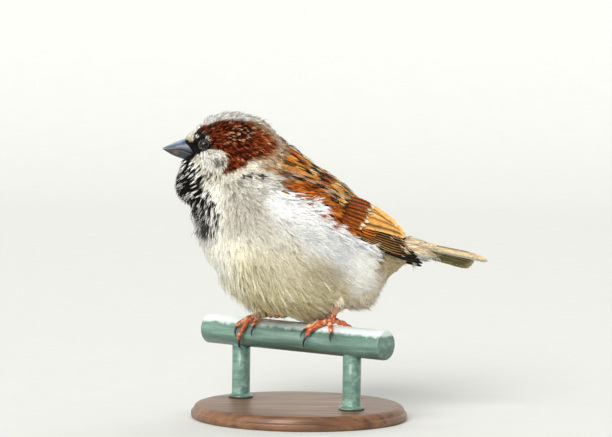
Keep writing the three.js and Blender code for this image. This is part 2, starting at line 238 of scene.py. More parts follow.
# ---------- materials ----------
def material(name, **sockets):
    """A material as itself, its node tree and its principled shader with the sockets set."""
    made = bpy.data.materials.new(name)
    made.use_nodes = True
    shader = made.node_tree.nodes["Principled BSDF"]
    for key, value in sockets.items():
        shader.inputs[key.replace("_", " ")].default_value = value
    return made, made.node_tree, shader


def add(tree, kind, values=None, **settings):
    node = tree.nodes.new(kind)
    for key, value in settings.items():
        setattr(node, key, value)
    for key, value in (values or {}).items():
        node.inputs[key].default_value = value
    return node


def noise_node(tree, scale, detail=3.0, roughness=0.6, stretch=None, turn=0.0, kind="POINT", distortion=0.0):
    """Noise in the object's own space, which stretch and turn may draw out along an axis."""
    source = add(tree, "ShaderNodeTexCoord").outputs["Object"]
    if stretch:
        placing = {"Scale": stretch, "Rotation": (0, 0, turn)}
        mapping = add(tree, "ShaderNodeMapping", placing, vector_type=kind)
        tree.links.new(source, mapping.inputs["Vector"])
        source = mapping.outputs["Vector"]
    values = {"Scale": scale, "Detail": detail, "Roughness": roughness, "Distortion": distortion}
    made = add(tree, "ShaderNodeTexNoise", values)
    tree.links.new(source, made.inputs["Vector"])
    return made.outputs["Fac"]


def ramp_node(tree, source, *stops):
    """A colour ramp through stops, each a place and a colour or a grey value."""
    made = add(tree, "ShaderNodeValToRGB")
    elements = made.color_ramp.elements
    while len(elements) < len(stops):
        elements.new(0.5)
    for element, (place, tone) in zip(elements, stops):
        element.position = place
        element.color = (*np.broadcast_to(colour(tone), 3), 1)
    tree.links.new(source, made.inputs["Fac"])
    return made.outputs["Color"]


def mix_node(tree, kind, share, a, b):
    """A colour mix; each of share, a and b is a socket or a plain value."""
    made = add(tree, "ShaderNodeMix", data_type="RGBA", blend_type=kind)
    for index, value in ((0, share), (6, a), (7, b)):
        if hasattr(value, "is_output"):
            tree.links.new(value, made.inputs[index])
        else:
            made.inputs[index].default_value = value if index == 0 else (*value, 1)
    return made.outputs[2]


def bump_node(tree, shader, source, strength, distance):
    made = add(tree, "ShaderNodeBump", {"Strength": strength, "Distance": distance})
    tree.links.new(source, made.inputs["Height"])
    tree.links.new(made.outputs["Normal"], shader.inputs["Normal"])


def grained(name, scale, dark, light, rough=None, bump=None, stretch=None, **sockets):
    """The tint attribute times a fine noise, which may vary the roughness and raise the surface too."""
    made, tree, shader = material(name, **sockets)
    grain = noise_node(tree, scale, stretch=stretch)
    tint = add(tree, "ShaderNodeAttribute", attribute_name="tint").outputs["Color"]
    mixed = mix_node(tree, "MULTIPLY", 1.0, tint, ramp_node(tree, grain, dark, light))
    tree.links.new(mixed, shader.inputs["Base Color"])
    if rough:
        tree.links.new(ramp_node(tree, grain, (0.3, rough[0]), (0.7, rough[1])), shader.inputs["Roughness"])
    if bump:
        bump_node(tree, shader, grain, *bump)
    return made


def soft(name, roughness, scale, grain, **sockets):
    """Plumage or bare skin: a fine grain of light and dark with little shine."""
    sockets = {"Specular_IOR_Level": 0.12, "Sheen_Weight": 0.03, "Sheen_Roughness": 0.5, **sockets}
    rough = (roughness - 0.06, min(1, roughness + 0.06))
    return grained(name, scale, (0.3, 1 - grain), (0.7, 1 + grain), rough, Roughness=roughness, **sockets)


PLUMAGE = soft("plumage", 0.82, 1400.0, 0.16)
DOWNY_SKIN = soft("downy_skin", 0.9, 900.0, 0.2)
VANES = soft("vanes", 0.72, 1700.0, 0.1)


# ---------- meshes and surfaces ----------
def mesh_piece(name, slot, points, faces, look, tint=None, normals=None, unwrap=None, nodes=()):
    """Makes a piece, tells the frame its body and hides the nodes that it stands for; slot is not used."""
    mesh = bpy.data.meshes.new(name)
    faces = np.asarray(faces, np.int32)
    mesh.vertices.add(len(points))
    mesh.vertices.foreach_set("co", world(points).astype(np.float32).ravel())
    mesh.loops.add(faces.size)
    mesh.loops.foreach_set("vertex_index", faces.ravel())
    mesh.polygons.add(len(faces))
    mesh.polygons.foreach_set("loop_start", np.arange(0, faces.size, faces.shape[1], dtype=np.int32))
    mesh.update(calc_edges=True)
    mesh.polygons.foreach_set("use_smooth", np.ones(len(faces), bool))
    if tint is not None:
        layer = mesh.color_attributes.new("tint", "FLOAT_COLOR", "POINT")
        values = np.ones((len(points), 4), np.float32)
        values[:, :3] = np.clip(tint, 0, 1)
        layer.data.foreach_set("color", values.ravel())
    if unwrap is not None:
        layer = mesh.uv_layers.new(name="OFBake")
        layer.data.foreach_set("uv", np.asarray(unwrap, np.float32)[faces.ravel()].ravel())
    if normals is not None:
        mesh.normals_split_custom_set_from_vertices(unit(normals))
    mesh.materials.append(look)
    piece = bpy.data.objects.new(name, mesh)
    bpy.context.scene.collection.objects.link(piece)
    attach(piece, "root")
    if nodes:
        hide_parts(*nodes)


class Surface:
    """A surface of triangles with its smooth normals and the triangles' areas."""

    def __init__(self, points, faces):
        self.points, self.faces = points, faces
        a, b, c = (points[corner] for corner in faces.T)
        face_normals = np.cross(b - a, c - a)
        normals = np.zeros_like(points)
        for corner in faces.T:
            np.add.at(normals, corner, face_normals)
        self.normals = unit(normals)
        self.areas = np.linalg.norm(face_normals, axis=1) / 2


def read_out(items, key, width, kind=float):
    values = np.empty(len(items) * width, kind)
    items.foreach_get(key, values)
    return values.reshape(-1, width)


def tree_of(name):
    """A search tree of one of the frame's nodes."""
    mesh = frame["nodes"][name].data
    mesh.calc_loop_triangles()
    points = read_out(mesh.vertices, "co", 3) * METRE - ORIGIN
    return BVHTree.FromPolygons(points.tolist(), read_out(mesh.loop_triangles, "vertices", 3, int).tolist())


def ball(divisions):
    """A sphere of triangles, as directions, faces and edges."""
    bpy.ops.mesh.primitive_ico_sphere_add(subdivisions=divisions, radius=1)
    piece = bpy.context.object
    mesh = piece.data
    points = unit(read_out(mesh.vertices, "co", 3))
    faces, edges = read_out(mesh.polygons, "vertices", 3, int), read_out(mesh.edges, "vertices", 2, int)
    bpy.data.objects.remove(piece)
    bpy.data.meshes.remove(mesh)
    return points, faces, edges


def averaged(values, edges):
    total, count = np.zeros((2, len(values)))
    for a, b in (edges.T, edges.T[::-1]):
        np.add.at(total, a, values[b])
        np.add.at(count, a, 1)
    return total / count


def hull_of(names):
    """The outer surface of some nodes as one closed ball, with the partings between them closed."""
    start_reach, closing_rounds, smoothing_rounds, closing_slack = 120, 14, 12, 0.05
    trees = [tree_of(name) for name in names]
    directions, faces, edges = ball(7)
    reach = np.zeros(len(directions))
    for i, direction in enumerate(directions):
        start = Vector(BODY_MIDDLE + direction * start_reach)
        hits = [tree.ray_cast(start, Vector(-direction))[3] for tree in trees]
        reach[i] = start_reach - min((hit for hit in hits if hit is not None), default=start_reach)
    for _ in range(closing_rounds):
        reach = np.maximum(reach, averaged(reach, edges) - closing_slack)
    for _ in range(smoothing_rounds):
        reach = averaged(reach, edges)
    return Surface(BODY_MIDDLE + directions * reach[:, None], faces)


class Side:
    """How far out the near side's folded wing and flank lie beside places (x, z), read off a grid."""

    low, high, start, unknown = (-26.0, 20.0), (66.0, 86.0), -60, 8.0
    filling_rounds, smoothing_rounds = 160, 6

    def __init__(self, names):
        trees = [tree_of(name) for name in names]
        columns, rows = (int(b - a) + 1 for a, b in zip(self.low, self.high))
        out = np.full((columns, rows), np.nan)
        for i, j in np.ndindex(columns, rows):
            start = Vector((self.low[0] + i, self.start, self.low[1] + j))
            hits = [tree.ray_cast(start, Vector((0, 1, 0)))[0] for tree in trees]
            out[i, j] = max((-hit.y for hit in hits if hit is not None and hit.y < 0), default=np.nan)
        known = ~np.isnan(out)
        self.out = np.where(known, out, self.unknown)
        for _ in range(self.filling_rounds):
            self.out = np.where(known, self.out, self.softened())
        for _ in range(self.smoothing_rounds):
            self.out = self.softened()

    def softened(self):
        wide = np.pad(self.out, 1, mode="edge")
        return (wide[:-2, 1:-1] + wide[2:, 1:-1] + wide[1:-1, :-2] + wide[1:-1, 2:] + 2 * self.out) / 6

    def at(self, x, z):
        q = np.clip(np.stack([x, z], -1) - self.low, 0, np.array(self.out.shape) - 1.001)
        i, j = np.moveaxis(q.astype(int), -1, 0)
        u, v = q[..., 0] - i, q[..., 1] - j
        g = self.out
        low = g[i, j] * (1 - u) + g[i + 1, j] * u
        high = g[i, j + 1] * (1 - u) + g[i + 1, j + 1] * u
        return low * (1 - v) + high * v

    def surface(self, x, z):
        """Places on the near side, and the normals out of it."""
        y, step = self.at(x, z), 0.8
        slope_x = (self.at(x + step, z) - self.at(x - step, z)) / (2 * step)
        slope_z = (self.at(x, z + step) - self.at(x, z - step)) / (2 * step)
        return np.stack([x, -y, z], -1), unit(np.stack([-slope_x, -np.ones_like(y), -slope_z], -1))


# ---------- the skin ----------
# The lie of the feathers: at places (x, h), which way they point, in degrees above +X.
LIE = (
    (-49, 85.5, 50), (-46, 87, 45), (-40, 89.5, 30), (-30, 92, 0), (-20, 90, -15), (-12, 86, -40),
    (-7, 80, -50), (-38, 85, 10), (-30, 84, -5), (-22, 82, -20), (-14, 79, -35), (-30, 77, -35),
    (-31, 71.5, -50), (-24, 74, -28), (-45, 83, 20), (-47, 80, -10), (-46, 77, -60), (-38, 78, -25),
    (-35, 75, -45),
    (-39, 73, -75), (-43, 71, -105), (-50, 75, -110), (-48, 72, -142), (-52, 68, -152), (-53, 64, -158),
    (-47, 66, -148), (-44, 69, -138), (-49, 70, -150), (-47, 62, -140), (-41, 66, -136), (-42, 61, -116),
    (-37, 68, -128), (-35, 63, -96), (-51, 58, -130), (-47, 54, -112), (-43, 48, -95), (-40, 42, -85),
    (-36, 57, -88), (-29, 68, -20), (-28, 64, -45), (-28, 56, -68), (-31, 50, -78), (-33, 40, -73),
    (-33, 30, -63), (-28, 20, -48), (-20, 12, -30), (-22, 70, -20), (-15, 66, -15), (-14, 60, -28),
    (-15, 50, -45), (-14, 38, -52), (-10, 22, -40), (0, 12, -22), (0, 58, -12), (4, 48, -25), (8, 34, -36),
    (14, 20, -30), (24, 26, -32), (28, 36, -38), (36, 28, -20), (42, 31, -12), (-5, 74, -15), (5, 70, -24),
    (15, 62, -33), (25, 55, -35), (35, 48, -36), (45, 42, -20), (52, 38, -14),
)
LIE_REACH = 3.6
# Where the feathers stop at the bill, as (h, x), and how far the face is moved back at heights there.
FEATHER_LINE = ((73.6, -51.6), (74.9, -50.4), (75.6, -48.0), (77.0, -45.9), (79.8, -47.2), (82.0, -48.8),
                (83.2, -49.6), (85, -49.8))
FACE_SHIFT = ((63, 0), (67, 0.4), (70, 0.7), (72, 1.0), (73.5, 0.9), (75, 1.3), (76, 1.7), (79, 1.6),
              (81.0, 0.8), (82.4, -0.8), (84, -0.9), (86, -0.5), (88, 0))


def table(pairs, values):
    """A table's second column, read between its rows."""
    return np.interp(values, *np.array(sorted(pairs)).T)


def coat_depth(points):
    """How deep the coat is over the skin: thin on the face, deep on the belly."""
    x, _, z = points.T
    head = ramp(z + 0.25 * (x + 40), 66, 76) * fall(x, -16, -2)
    back = ramp(z + 0.62 * x, 57, 66) * (1 - head)
    face = fall(off_bill(points), 7, 16)
    return 2.6 - 1.5 * head - 1.1 * back - 0.55 * face


def off_bill(points):
    return np.linalg.norm(points - BILL_ROOT, axis=1)


def unwrap_of(points):
    """Places on the unwrap of the skin's shape: round it and up it."""
    way = unit(points - BODY_MIDDLE)
    around = np.arctan2(way[:, 1], -way[:, 0]) / (2 * math.pi) + 0.5
    upward = np.arccos(np.clip(way[:, 2], -1, 1)) / math.pi
    return 0.01 + 0.98 * np.stack([around, 1 - upward], -1)


def lie_of(points, normals):
    """The way the feathers point, along the surface. They part round the eyes."""
    places, heights, angles = np.array(LIE, float).T
    x, h = seen(points)
    away = (x[:, None] - places) ** 2 + (h[:, None] - heights) ** 2
    weights = np.exp(-(away - away.min(1, keepdims=True)) / (2 * LIE_REACH**2))
    angle = np.radians(angles)
    way = unit(np.stack([weights @ np.cos(angle), np.zeros(len(x)), weights @ np.sin(angle)], -1))
    off = (points - EYE_MIDDLE) * [1, 0, 1]
    way = unit(way + unit(off) * (1.3 * fall(np.linalg.norm(off, axis=1), 2.2, 4.6))[:, None])
    return unit(way - dot(way, normals) * normals)


def behind_bill(points):
    """How far behind the end of the feathers at the bill each place is."""
    x, h = seen(points)
    return x - table(FEATHER_LINE, h)


def shaped_skin(outline):
    """The outline drawn in by the coat's depth, with a narrower face beside the bill."""
    bare = outline.points - outline.normals * coat_depth(outline.points)[:, None]
    x, y, z = bare.T
    x += fall(x, -46.5, -43) * fall(np.abs(y), 3.5, 6.5) * table(FACE_SHIFT, z)
    cap = 3.7 + np.where(behind_bill(bare) > 0, 1.5, 0.8) * behind_bill(bare)
    beside = ramp(z, 74.0, 75.6) * fall(z, 83.5, 86) * fall(x, -43, -41.5)
    over_cap = np.maximum(np.abs(y) - np.maximum(cap, 1.5), 0)
    y -= np.sign(y) * 0.9 * over_cap * beside
    # the belly is kept clear of the far hind toe
    z += 1.3 * np.exp(-(((x + 9) / 6.5) ** 2)) * fall(z, 10, 20)
    return Surface(bare, outline.faces)


outline = hull_of(FLESH)
skin = shaped_skin(outline)
shell = hull_of([*FLESH, *WINGS])
side_field = Side([*FLESH, *WINGS])

# ---------- markings ----------
# Outlines of the plumage's parts, as places (x, h).
CHESTNUT_PATCH = (
    (-44.9, 87.5), (-42.4, 89.1), (-39, 90.7), (-36, 91.7), (-31, 92.3), (-26, 92.0), (-21, 91.0),
    (-16.5, 89.2), (-13, 86.5), (-10.5, 83.6), (-9, 80), (-10.5, 77.0), (-13.5, 74.8), (-18, 74.4),
    (-22, 73.4), (-26, 71.2), (-29.3, 69.3), (-34.4, 67.6), (-32, 71.4), (-30.8, 75), (-32.8, 77.4),
    (-35.4, 78.4), (-38.6, 80.0), (-39.4, 84.2), (-41.5, 86.3), (-43.6, 85.6),
)
MASK_PATCH = (
    (-53, 84.5), (-49.4, 84.4), (-48.4, 82.7), (-46.4, 82.4), (-45.8, 83.8), (-46.0, 85.8), (-44.4, 87.4),
    (-42.6, 86.9), (-41, 86.2), (-39.4, 85.0), (-39.0, 83.5), (-38.2, 81.7), (-37.3, 80.0), (-38.5, 79.0),
    (-40.0, 78.6), (-41.4, 77.6), (-44.2, 76.4), (-45.6, 75.7), (-47.4, 74.0), (-49, 72.5), (-54, 73),
)
BIB_PATCH = (
    (-50, 77), (-47.4, 75.6), (-47.0, 72.5), (-45.6, 70), (-45.2, 66.8), (-43.8, 64.2), (-41.5, 61.6),
    (-38.2, 59), (-36, 56), (-34.6, 51), (-34.3, 46), (-35.3, 41.2), (-39, 40.2), (-42.5, 40.8), (-47, 44),
    (-54, 52), (-60, 60), (-60, 77),
)
MALAR_PATCH = (
    (-48, 75.6), (-45, 77), (-43, 75), (-42, 72), (-38, 70.4), (-34, 69.6), (-33.5, 66), (-38, 63), (-43, 62),
    (-45.5, 64), (-46.2, 68), (-47.4, 71.5),
)
CHEEK_PATCH = (
    (-45, 76.6), (-40.6, 78.7), (-37.2, 78.9), (-34.4, 77.6), (-31.5, 75.2), (-32.5, 70.8), (-36.4, 68.8),
    (-41, 70), (-45, 73),
)
FLANK_PATCH = (
    (-14, 64), (-6, 62), (0, 61), (7, 58.5), (12, 52), (19, 48), (26, 41), (32, 36), (35, 30), (31, 24),
    (20, 24), (8, 33), (0, 41), (-8, 47), (-15, 54),
)
BACK_PATCH = (
    (-9, 84), (-8.5, 79), (-12, 75), (-16, 72), (-13, 69.6), (-6, 67), (2, 62), (10, 56), (20, 47), (34, 38),
    (44, 33), (60, 30), (60, 60), (30, 80), (0, 95),
)
LESSER_PATCH = (
    (-9, 67.0), (-6, 66.8), (0, 66.0), (5, 63.2), (10, 60.2), (15, 56.6), (19, 54.4), (23, 51.5), (23, 46),
    (19, 45.6), (15, 48.3), (10.6, 52.5), (8.4, 56.4), (4, 59.2), (-1, 61.2), (-6, 63.2), (-9, 65.6),
)
MANTLE_PATCH = (
    (-6.5, 82.5), (-4, 87), (4, 84), (20, 70), (32, 62), (34, 54), (30, 52.5), (25, 54.5), (19, 57.5),
    (15, 57.5), (9, 62), (3, 66.2), (-2, 67.6), (-9, 69.4), (-10, 71.5), (-7.6, 75.4), (-6, 79),
)
COLLAR_LINE = ((-46, 62), (-38, 63), (-33, 64.5), (-28, 66), (-24, 67.5), (-20, 69), (-12, 70))
WING_EDGE = ((-12, 63.6), (-7, 62.6), (-1, 61.3), (4, 59.2), (8.2, 56.6), (9.6, 53.4), (13, 50), (20, 45.4),
             (26, 41.9), (33, 39.6), (39, 37.2))


def markings(points, chance=0.5):
    """The colours of the plumage at places: at a feather's root, along it and at its tip.

    chance is a number from 0 to 1 for each feather, which picks the odd pale or dark one out.
    """
    x, h = seen(points)
    rough, fine = noise(points, 2.6, 11) - 0.5, noise(points, 1.1, 12) - 0.5
    wide = noise(points, 7.0, 13)

    def patch(outline, ragged, low, high):
        return ramp(inside(outline, points) + ragged * rough, low, high)

    def stripe(line, width, ragged, low, high):
        return ramp(width - near_line(line, points) + ragged * rough, low, high)

    def spot(spot_x, spot_h, radius, low, high, stretch=1.0):
        return ramp(radius - np.hypot((x - spot_x) / stretch, h - spot_h), low, high)

    # trunk: white at the front and on the flanks, creamy below, greyer sides; the olive-buff low down is
    # painted shade with a greenish reflected tint
    side = ramp(h, 36, 46) * fall(h, 58, 66) * ramp(x, -37, -30) * fall(x, -16, -6)
    body = blend(
        "#fffbea", "#d5cab4", side * (0.2 + 0.8 * wide), "#f3e8c4", fall(h, 26, 42) * ramp(x, -32, -18) * 0.9,
        "#c4b066", fall(h, 8, 25) * (0.55 + 0.5 * wide),
        "#d9c694", fall(h, 22, 40) * ramp(x, -4, 14) * (0.3 + 0.8 * wide) * 0.9,
    )
    shaded = ramp(x, -38, -29) * ramp(h, 36, 44) + ramp(x, -27, -17) * fall(h, 36, 44) * ramp(h, 14, 27)
    body = body * (1 - 0.3 * shaded)[:, None]
    fluffy = fall(h, 20, 30) * fall(x, 16, 24)
    body = blend(body, "#a3975c", fluffy * (chance < 0.22) * 0.6, "#fffce8", fluffy * (chance > 0.76) * 0.65)
    body = body * (1 - np.array([0, 0.02, 0.12]) * (ramp(x, -34, -24) * fall(h, 34, 46))[:, None])
    flank = ramp(inside(FLANK_PATCH, points) + 6 * rough + 3 * (chance - 0.5), -3.5, 4.5)
    low_flank = spot(10, 28, 5.5, -2, 4, 1.5) * (0.5 + 0.7 * wide)
    odd = (chance > 0.95) * ramp(x, -34, -28) * ramp(h, 20, 28) * (0.75 - 0.25 * flank)
    bars = ramp(np.sin(h * 3.2 + 3 * rough + 0.3 * x), 0.1, 0.8) * ramp(h, 42, 48) * fall(h, 56, 62)
    bars = bars * ramp(x, -34, -28) * fall(x, -14, -8)
    marks = spot(-5, 36.5, 3.6, -1, 2, 1.6) * ramp(fine, 0.0, 0.2)
    under = ramp(x - 0.1 * (h - 30), 30.5, 34) * fall(h, 36, 39) * ramp(h, 25, 29)
    body = blend(
        body, blend("#ffffff", "#e4e5e4", fall(h, 44, 52)), flank, "#b5a379", low_flank * 0.75,
        "#857e72", odd, "#c6c3bb", flank * ramp(wide, 0.5, 0.8) * fall(h, 46, 54) * 0.8,
        "#746d60", spot(-26, 61.0, 5.5, -1.5, 3) * (chance < 0.4) * 0.9, "#9c9484", bars * 0.4,
        "#7d776b", marks * 0.7, "#fffdf4", fall(h, 34, 42) * ramp(x, 19, 24) * fall(x, 31, 35) * 0.85,
        "#b39a5c", under * (0.6 + 0.5 * (chance < 0.6)), "#4a3d2a", under * (chance > 0.86),
    )
    # feather roots are darker: grey down there, and painted shade deep between the tufts
    root = blend(body * 0.66, SMOKE, 0.22 * (1 - flank))
    root = blend(root, body * 0.95, np.maximum(flank, fall(x, -30, -23) * fall(h, 44, 52)))
    tip = blend(body, WHITE, 0.4)

    def lay(middle, share, tip_colour=None, root_colour=None):
        nonlocal body, root, tip
        body = blend(body, middle, share)
        tip = blend(tip, middle if tip_colour is None else tip_colour, share)
        root = blend(root, colour(middle) * 0.3 if root_colour is None else root_colour, share)

    # neck: creamy collar, with a dark nick at its lower edge
    collar = ramp(h - table(COLLAR_LINE, x), -1, 1) * fall(x, -10, -6)
    band = blend("#fff3dc", "#c9ab7c", ramp(x, -20, -13) * 0.9,
                 "#6d543a", ramp(x, -18, -12) * (chance > 0.62) * 0.8)
    lay(band, collar, blend(band, WHITE, 0.45))
    shade = stripe([(-33, 62.4), (-28, 64.2), (-24, 65.8), (-19, 66.8)], 1.6, 1.5, -0.5, 1.5)
    lay("#a39c8c", shade * 0.6 * (chance < 0.7))
    nick = stripe([(-24, 67.4), (-19, 68.3), (-15.5, 67.6)], 1.1, 1.2, -0.3, 0.5)
    lay(BLACK, nick * (chance < 0.75), SMOKE)

    # back and rump: tawny and brown under the mantle's feathers
    back = patch(BACK_PATCH, 2, -0.8, 1.2)
    rear = ramp(x, 26, 36)
    nape_mix = blend("#b48a5e", "#6e3b1a", (chance < 0.34) * 0.9, "#e6cda8", (chance > 0.68) * 0.8)
    lay(nape_mix, back * (1 - rear), blend(nape_mix, "#e6cda8", 0.3))
    lay("#a08c74", back * rear, "#cdb48c")

    # crown: grey with pale edges
    grey = blend("#ece4d6", "#5d4c3e", (chance < 0.14) * 0.9, "#fffbf2", (chance > 0.4) * 0.9,
                 "#e9e3d8", fall(x, -45, -38) * 0.6, "#c79a6c", ramp(x, -24, -12) * 0.8)
    crown = ramp(h + 0.22 * np.abs(x + 30), 84, 87) * fall(x, -12, -6)
    lay(grey, crown, blend(grey, WHITE, 0.6), grey * 0.72)

    # chestnut side of the head, with pale flecks
    red = blend(
        "#430e02", "#9c4317", ramp(x, -26, -10) * ramp(h, 74, 80) + 0.34 * (wide - 0.5),
        "#230a04", (chance < 0.34 + 0.14 * fall(x, -38, -30)) * 0.9, "#b35018", (chance > 0.66) * 0.55,
        "#1e0c06", stripe([(-44.5, 87), (-40, 86.2)], 2.6, 1, 0, 2.0) * 0.75,
    )
    fleck_chance = 0.06 + 0.2 * spot(-27, 86, 5.5, 0, 3, 1.3) + 0.14 * ramp(x, -18, -10)
    fleck = ((1 - chance) < fleck_chance * ramp(x, -40, -34)) * 1.0
    nape = fall(inside(CHESTNUT_PATCH, points), 0.6, 2.4) * ramp(x, -24, -16)
    red_tip = blend(red * 1.4, "#f0cfa6", fleck, "#e3c499", nape * 0.8)
    red = blend(red, "#b78a5c", nape * 0.75 * (chance > 0.3))
    lay(blend(red, "#c47a40", fleck * 0.5), patch(CHESTNUT_PATCH, 1.6, -0.5, 0.6), red_tip, red * 0.3)

    # pale cheek with a smudge and a dark rear edge, and the straw-coloured stripe below it
    pale = blend("#fdfbf0", "#8b8772", (chance < 0.26) * ramp(x, -41, -36) * ramp(h, 70, 74) * 0.85,
                 "#d9c7a4", (np.abs(chance - 0.5) < 0.12) * 0.6)
    smudge = stripe([(-36.0, 72.8), (-33.4, 71.8), (-32.6, 74.4)], 2.5, 2, -0.5, 1.6) * ramp(fine, -0.25, 0.1)
    rear_edge = stripe([(-33.6, 79.4), (-31.8, 77.6), (-31.4, 75.4)], 0.9, 0, -0.4, 0.6)
    smudge = np.maximum(smudge * 0.85, rear_edge * 0.8)
    pale_tip = blend(pale, WHITE, 0.5, "#6b665c", smudge)
    lay(blend(pale, "#3f3b34", smudge), patch(CHEEK_PATCH, 1, -0.4, 0.8), pale_tip)
    straw = blend("#fbf4e0", "#cdb98f", (chance < 0.2) * 0.8, "#2b2520", (chance > 0.9) * 0.9)
    lay(straw, patch(MALAR_PATCH, 0.8, -0.5, 0.6), blend(straw, WHITE, 0.5))

    # black mask with three small pale marks, and the bib with its white locks
    lay(BLACK * 0.7, patch(MASK_PATCH, 0.7, -0.35, 0.45))
    lay("#dcc79f", spot(-47.3, 83.9, 1.25, -0.2, 0.5, 1.2))
    lay("#efe6d8", stripe([(-44.7, 85.2), (-44.2, 84.3), (-43.7, 85.1)], 0.3, 0, -0.2, 0.2))
    brow = stripe([(-40.2, 84.4), (-39.2, 84.2), (-39.6, 83.6), (-39.0, 83.2)], 0.24, 0.4, -0.2, 0.25)
    lay("#ece6cc", brow * 0.9)
    whites = 0.15 + 0.24 * fall(h, 46, 58) + 0.2 * ramp(x, -43, -36) + 0.04 * ramp(h, 66, 69)
    white_lock = (chance < whites * fall(h, 73, 74.4)) * 1.0
    dark = blend(BLACK * 0.6, "#f1efe6", white_lock)
    dark_tip = blend(dark, "#8f8a80", (1 - white_lock) * fall(h, 48, 58) * 0.5)
    lay(dark, patch(BIB_PATCH, 1.8, -0.6, 0.9), dark_tip, BLACK * 0.6)
    lay(BLACK, stripe([(-44.5, 65.8), (-41, 66.6), (-38, 68.4)], 0.8, 0.5, -0.3, 0.4) * (chance < 0.8))
    return root, body, tip


def lock_colours(points, chance):
    """Black spikes and white ones, by turns."""
    x, h = seen(points)
    drawn = streaks(x * 0.15 + h * 0.1, h - 0.6 * x, 0 * x, 0.75, 431)
    white = (drawn + 0.5 * (chance - 0.5) > 0.66) * fall(h, 73, 74.5)
    lock = blend(BLACK * 0.6, "#f6f4ec", white)
    return blend(BLACK * 0.6, lock * 0.6, white), lock, lock


def mantle_colours(points, chance):
    """Orange-buff streaked with black and cream, cream along the spine, greyer low down, browner in front."""
    x, h = seen(points)
    width = np.abs(points[:, 1])
    spine, front = fall(width, 2.6, 4.6), fall(x, -9, 1)
    low_band = ramp(3.2 - near_line([(-12, 70.0), (0, 67.4), (8, 63.4), (15, 58)], points), 0, 2.4)
    across, along = h * 0.9 + x * 0.43 + 0.4 * width, (x * 0.9 - h * 0.43) * 0.16
    streak = streaks(across, along * 1.5, 0.3 * width, 0.68, 401) + 0.24 * (chance - 0.5)
    paler = streaks(across, along + 40, 0 * x, 0.6, 402) + 0.4 * (chance - 0.5)
    middle = blend(
        "#f6a53c", "#cf6a14", fall(paler, 0.35, 0.5), BROWN, front * 0.45 * ramp(chance, 0.2, 0.8),
        CREAM_RIM, ramp(paler, 0.7, 0.8) * 0.6, CREAM_RIM, spine * 0.85,
        blend("#e2d2b2", "#8a7c6a", chance), low_band * 0.6,
    )
    black = ramp(streak, 0.54, 0.59) * (1 - 0.3 * front) * (1 - 0.6 * spine)
    tip = blend(middle, PALE_BUFF, 0.2, SOOT * 0.6, black * 0.9)
    middle = blend(middle, SOOT * 0.5, black)
    return middle * 0.55, middle, tip


def lesser_colours(points, chance):
    """Rufous, with painted shade in the gaps between feathers, and orange ends."""
    x, h = seen(points)
    streak = streaks(h * 0.9 + x * 0.43, (x * 0.9 - h * 0.43) * 0.15, 0 * x, 0.9, 411) + 0.5 * (chance - 0.5)
    upper_edge = ramp(1.0 - near_line([(-4, 66.6), (4, 64.4), (12, 59.6), (17, 55.5)], points), -0.2, 0.6)
    # painted shade in the gaps between feathers, and under the mantle along the upper edge
    gap = np.maximum(fall(streak, 0.16, 0.26), upper_edge * (chance < 0.25))
    middle = blend(
        RUFOUS, DEEP_RUFOUS, ramp(streak, 0.5, 0.3), ORANGE_BUFF, ramp(streak, 0.66, 0.85) * 0.7,
        "#8d7963", fall(x, -8, 0) * (0.4 + 0.5 * (chance < 0.5)), "#241006", gap * 0.9 * ramp(x, -8, 0),
    )
    return middle * 0.5, middle, blend(middle, ORANGE_BUFF, 0.35 * (1 - gap))


def rump_colours(points, chance):
    """Sandy grey-brown with paler ends."""
    x, h = seen(points)
    below = fall(h + 0.12 * (x - 45), 35.6, 37.0)
    tan = blend("#ecc898", "#fff0d2", chance, "#8d6a48", (noise(points * [0.3, 1, 1], 1.1, 421) > 0.64) * 0.7,
                "#ffffff", below * (chance < 0.85))
    return tan * 0.5, tan, blend(tan, CREAM_RIM, 0.4)


def fluff_colours(points, chance):
    """White, with the odd grey lock, and rufous ones at the wing."""
    ragged = (near_line(WING_EDGE, points) < 2.0) & (chance > 0.75) & (points[:, 0] < 16)
    white = blend("#ffffff", "#b9b4a8", (chance < 0.14) * 0.7, "#a4500f", ragged * 1.0)
    return white * 0.8, white, white


def down_colours(points, chance):
    """Cream down, with some browner."""
    down = blend("#efe6cd", "#b9a27c", (chance < 0.4) * 0.7)
    return down * 0.7, down, down


def skirt_colours(points, chance):
    """Cream and white, with a few sandy wisps."""
    body = blend("#ffedcf", "#c8a670", (chance < 0.3) * 0.7)
    return body * 0.9, body, blend(body, WHITE, 0.3)


# ---------- tufts ----------
COLOUR_PLACE = 0.62  # the share of a tuft's length at which its colours are read
EYE_CLEARANCE = 2.1  # how near the eye's middle a tuft that points at it may come


def at(rule, points):
    """A rule at some points. A rule is a function of them, or what it would give everywhere."""
    return rule(points) if callable(rule) else rule


def scatter(surface, grows, spacing, seed):
    """Places on a surface no nearer to each other than the spacing there, with the normals."""
    rng = np.random.default_rng(seed)

    def gap_at(places):
        return np.where(grows(places), at(spacing, places), 0)

    wanted = gap_at(surface.points[surface.faces].mean(1))
    weight = np.where(wanted > 0, surface.areas / np.maximum(wanted, 0.1) ** 2, 0)
    tries = int(weight.sum() * 5)
    ids = surface.faces[rng.choice(len(surface.faces), tries, p=weight / weight.sum())]
    shares = rng.dirichlet((1, 1, 1), tries)[..., None]
    points = (surface.points[ids] * shares).sum(1)
    normals = unit((surface.normals[ids] * shares).sum(1))
    gap = gap_at(points)
    keys = np.floor(points / gap.max()).astype(int)
    around = [np.array(corner) - 1 for corner in np.ndindex(3, 3, 3)]
    kept, cells = [], {}
    for i in np.flatnonzero(gap > 0):
        near = [j for step in around for j in cells.get(tuple(keys[i] + step), ())]
        if near and (((points[near] - points[i]) ** 2).sum(1) < gap[i] ** 2).any():
            continue
        kept.append(i)
        cells.setdefault(tuple(keys[i]), []).append(i)
    return points[kept], normals[kept]


